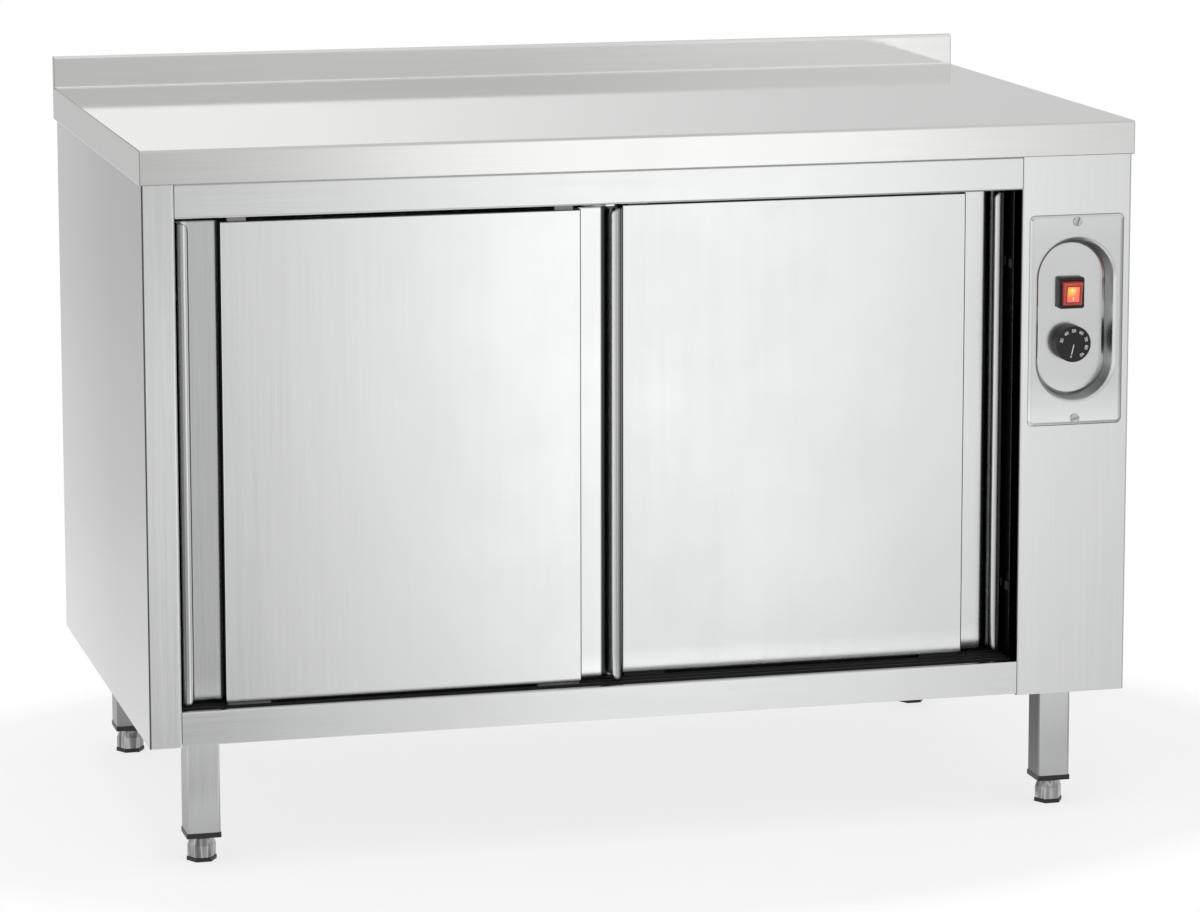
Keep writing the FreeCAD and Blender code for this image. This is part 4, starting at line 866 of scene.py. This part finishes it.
def studio_world():
    """A soft room: bright where the lamps hang, dark round the camera, white behind the object."""
    world = bpy.data.worlds.new("studio")
    bpy.context.scene.world = world
    world.use_nodes = True
    world.node_tree.nodes.clear()
    wiring = Wiring(world.node_tree)
    coords = wiring.node("ShaderNodeTexCoord")
    parts = wiring.node("ShaderNodeSeparateXYZ")
    wiring.join(coords.outputs["Generated"], parts.inputs[0])
    x, y, z = parts.outputs
    turn = wiring.maths("ARCTAN2", x, wiring.maths("MULTIPLY", y, -1.0))
    around = wiring.spread(turn, -math.pi, math.pi, 0.0, 1.0)
    rise = wiring.maths("ARCSINE", z)
    height = wiring.spread(rise, -math.pi / 2, math.pi / 2, 0.0, 1.0)

    def around_ramp(pairs, scale=1.0):
        stops = [((angle + 180.0) / 360.0, value * scale) for angle, value in pairs]
        return wiring.ramp(around, stops, "EASE")

    def height_ramp(pairs, scale=1.0):
        stops = [((angle + 90.0) / 180.0, value * scale) for angle, value in pairs]
        return wiring.ramp(height, stops, "EASE")

    strength = 2.0
    gain = 1.25 / strength
    low_room = around_ramp([
        (-180, 0.62), (-150, 0.75), (-120, 0.90), (-85, 0.95), (-58, 0.85), (-42, 0.82), (-28, 0.78),
        (-8, 0.72), (1, 0.56), (6, 0.46), (9, 0.45), (10.3, 0.55), (11.6, 0.70), (12.9, 0.89),
        (14.2, 1.02), (15.6, 1.05), (17, 0.98), (18.3, 0.85), (19.6, 0.72), (21, 0.62), (24, 0.52),
        (30, 0.46), (40, 0.42), (100, 0.36), (150, 0.5), (180, 0.62)], gain)
    high_room = around_ramp([
        (-180, 0.78), (-120, 0.9), (-80, 0.9), (-45, 0.5), (-25, 0.2), (-5, 0.3), (8, 0.53), (20, 0.64),
        (60, 0.6), (120, 0.50), (150, 0.48), (160, 0.53), (172, 0.74)], gain)
    fall = height_ramp([
        (-90, 0.55), (-30, 0.62), (-20, 0.68), (-15, 0.74), (-13.4, 0.82), (-11.5, 0.94), (-9, 1.0)])
    behind = height_ramp([
        (-90, 0.95), (-20, 0.92), (-14, 0.74), (-12.3, 0.65), (-10.7, 0.56), (-7.4, 0.48), (0, 0.5)], gain)
    lift = height_ramp([(-2, 0.0), (4, 1.0)])
    top = height_ramp([(14, 0.0), (40, 1.0)])
    rear_side = wiring.spread(y, -0.15, 0.25, 0.0, 1.0)

    def blend(factor, first, second):
        mix = wiring.node("ShaderNodeMix", data_type="RGBA")
        for socket, value in ((mix.inputs[0], factor), (mix.inputs[6], first), (mix.inputs[7], second)):
            if isinstance(value, tuple):
                socket.default_value = value
            else:
                wiring.join(value, socket)
        return mix.outputs[2]

    low_half = blend(rear_side, wiring.product(low_room, fall), behind)
    walls = blend(lift, low_half, high_room)
    overhead = 0.6 * gain
    room = blend(top, walls, (overhead, overhead, overhead, 1.0))
    lit = wiring.node("ShaderNodeBackground", {"Strength": strength})
    wiring.join(room, lit.inputs["Color"])
    white = wiring.node("ShaderNodeBackground", {"Color": (1.0, 1.0, 1.0, 1.0), "Strength": 1.0})
    path = wiring.node("ShaderNodeLightPath")
    backdrop = around_ramp([(-180, 1.0), (-120, 1.0), (-95, 0.0), (164, 0.0), (172, 1.0)])
    mirrored_share = 0.3
    bright = wiring.maths("MULTIPLY", wiring.maths("MULTIPLY", lift, backdrop), mirrored_share)
    mirrored = wiring.maths("MULTIPLY", path.outputs["Is Glossy Ray"], bright)
    direct = wiring.maths(
        "ADD", path.outputs["Is Camera Ray"], path.outputs["Is Transmission Ray"], clamp=True)
    seen = wiring.maths("ADD", direct, mirrored, clamp=True)
    mix = wiring.node("ShaderNodeMixShader")
    wiring.join(seen, mix.inputs[0])
    wiring.join(lit.outputs[0], mix.inputs[1])
    wiring.join(white.outputs[0], mix.inputs[2])
    output = wiring.node("ShaderNodeOutputWorld")
    wiring.join(mix.outputs[0], output.inputs["Surface"])


def floor_material():
    """Pale floor that stays white to the camera and keeps a faint shadow."""
    material, wiring, shader = new_material("studio_floor")
    cloud = speckle(wiring, 6.0)
    wiring.join(wiring.ramp(cloud, [(0.3, 0.86), (0.7, 0.90)]), shader.inputs["Base Color"])
    shader.inputs["Roughness"].default_value = 0.8
    shader.inputs["Specular IOR Level"].default_value = 0.1
    glow = wiring.node("ShaderNodeEmission", {"Color": (1.0, 1.0, 1.0, 1.0), "Strength": 1.0})
    path = wiring.node("ShaderNodeLightPath")
    seen = wiring.maths("ADD", path.outputs["Is Camera Ray"], path.outputs["Is Glossy Ray"])
    seen = wiring.maths("ADD", seen, path.outputs["Is Transmission Ray"], clamp=True)
    glow_share = 0.72
    share = wiring.maths("MULTIPLY", seen, glow_share)
    mix = wiring.node("ShaderNodeMixShader")
    wiring.join(share, mix.inputs[0])
    wiring.join(shader.outputs[0], mix.inputs[1])
    wiring.join(glow.outputs[0], mix.inputs[2])
    coords = wiring.node("ShaderNodeTexCoord")
    distance = wiring.node("ShaderNodeVectorMath", operation="LENGTH")
    squeeze = wiring.node("ShaderNodeMapping", {"Scale": (1.0, 1.35, 1.0)})
    wiring.join(coords.outputs["Object"], squeeze.inputs["Vector"])
    wiring.join(squeeze.outputs[0], distance.inputs[0])
    fade = wiring.ramp(distance.outputs["Value"], [(0.85, 0.0), (1.0, 1.0)], "EASE")
    clear = wiring.node("ShaderNodeBsdfTransparent")
    edge = wiring.node("ShaderNodeMixShader")
    wiring.join(fade, edge.inputs[0])
    wiring.join(mix.outputs[0], edge.inputs[1])
    wiring.join(clear.outputs[0], edge.inputs[2])
    output = next(n for n in wiring.tree.nodes if n.type == "OUTPUT_MATERIAL")
    wiring.join(edge.outputs[0], output.inputs[0])
    return material


def soft_lamp(name, power, wide, high, place, aim):
    """A rectangular lamp that lights the object without showing in its reflections."""
    lamp = bpy.data.lights.new(name, "AREA")
    lamp.shape = "RECTANGLE"
    lamp.size = wide
    lamp.size_y = high
    lamp.energy = power
    holder = bpy.data.objects.new(name, lamp)
    bpy.context.scene.collection.objects.link(holder)
    holder.location = place
    holder.rotation_euler = (Vector(aim) - Vector(place)).to_track_quat("-Z", "Y").to_euler()
    holder.visible_glossy = False


class CABINET_OT_stage(bpy.types.Operator):
    """Sets the floor, the studio's light and the camera"""
    bl_idname = "cabinet.stage"
    bl_label = "Studio"

    def execute(self, context):
        settings = context.scene.cabinet_studio
        floor_reach = 1.4
        form = bmesh.new()
        bmesh.ops.create_grid(form, x_segments=8, y_segments=8, size=floor_reach)
        mesh = bpy.data.meshes.new("studio_floor")
        form.to_mesh(mesh)
        form.free()
        mesh.materials.append(floor_material())
        floor = bpy.data.objects.new("studio_floor", mesh)
        context.scene.collection.objects.link(floor)
        studio_world()
        middle = (0.0, 0.0, 0.5)
        soft_lamp("lamp_above", settings.key_power, 3.0, 2.4, (-0.6, -0.8, 3.4), middle)
        soft_lamp("lamp_front", settings.fill_power, 2.4, 1.6, (-2.6, -3.4, 2.0), middle)
        camera = bpy.data.cameras.new("photo_camera")
        holder = bpy.data.objects.new("photo_camera", camera)
        context.scene.collection.objects.link(holder)
        yaw, pitch, roll = settings.camera_yaw, settings.camera_pitch, settings.camera_roll
        level = math.cos(pitch)
        forward = Vector((math.sin(yaw) * level, math.cos(yaw) * level, -math.sin(pitch)))
        right = Vector((math.cos(yaw), -math.sin(yaw), 0.0))
        down = forward.cross(right)
        across = right * math.cos(roll) + down * math.sin(roll)
        under = down * math.cos(roll) - right * math.sin(roll)
        turn = Matrix((across, -under, -forward)).transposed().to_4x4()
        holder.matrix_world = Matrix.Translation(Vector(settings.camera_place)) @ turn
        camera.lens = camera.sensor_width * settings.focal_share
        camera.shift_x = settings.shift_right
        camera.shift_y = settings.shift_up
        camera.clip_start = 0.05
        camera.clip_end = 60.0
        context.scene.camera = holder
        context.scene.view_settings.view_transform = "Standard"
        return {"FINISHED"}


PIECES = (
    CABINET_OT_worktop, CABINET_OT_body, CABINET_OT_doors, CABINET_OT_running_gear, CABINET_OT_cavity,
    CABINET_OT_legs, CABINET_OT_control_plate, CABINET_OT_rocker, CABINET_OT_knob, CABINET_OT_heater,
    CABINET_OT_stage,
)


class CABINET_PT_pieces(bpy.types.Panel):
    """Lists the cabinet's pieces and their settings"""
    bl_idname = "CABINET_PT_pieces"
    bl_label = "Plate warmer cabinet"
    bl_space_type = "VIEW_3D"
    bl_region_type = "UI"
    bl_category = "Cabinet"

    def draw(self, context):
        for piece in PIECES:
            self.layout.operator(piece.bl_idname)
        for group in ("cabinet_steel", "cabinet_controls", "cabinet_studio"):
            settings = getattr(context.scene, group)
            box = self.layout.box()
            for name in settings.__annotations__:
                box.prop(settings, name)


CLASSES = (SteelSettings, ControlSettings, StudioSettings) + PIECES + (CABINET_PT_pieces,)


def register():
    for item in CLASSES:
        bpy.utils.register_class(item)
    bpy.types.Scene.cabinet_steel = bpy.props.PointerProperty(type=SteelSettings)
    bpy.types.Scene.cabinet_controls = bpy.props.PointerProperty(type=ControlSettings)
    bpy.types.Scene.cabinet_studio = bpy.props.PointerProperty(type=StudioSettings)


def unregister():
    for name in ("cabinet_steel", "cabinet_controls", "cabinet_studio"):
        delattr(bpy.types.Scene, name)
    for item in reversed(CLASSES):
        bpy.utils.unregister_class(item)


def main():
    register()
    bpy.ops.cabinet.worktop()
    bpy.ops.cabinet.body()
    bpy.ops.cabinet.doors()
    bpy.ops.cabinet.running_gear()
    bpy.ops.cabinet.cavity()
    bpy.ops.cabinet.legs()
    bpy.ops.cabinet.control_plate()
    bpy.ops.cabinet.rocker()
    bpy.ops.cabinet.knob()
    bpy.ops.cabinet.heater()
    bpy.ops.cabinet.stage()


if __name__ == "__main__":
    main()
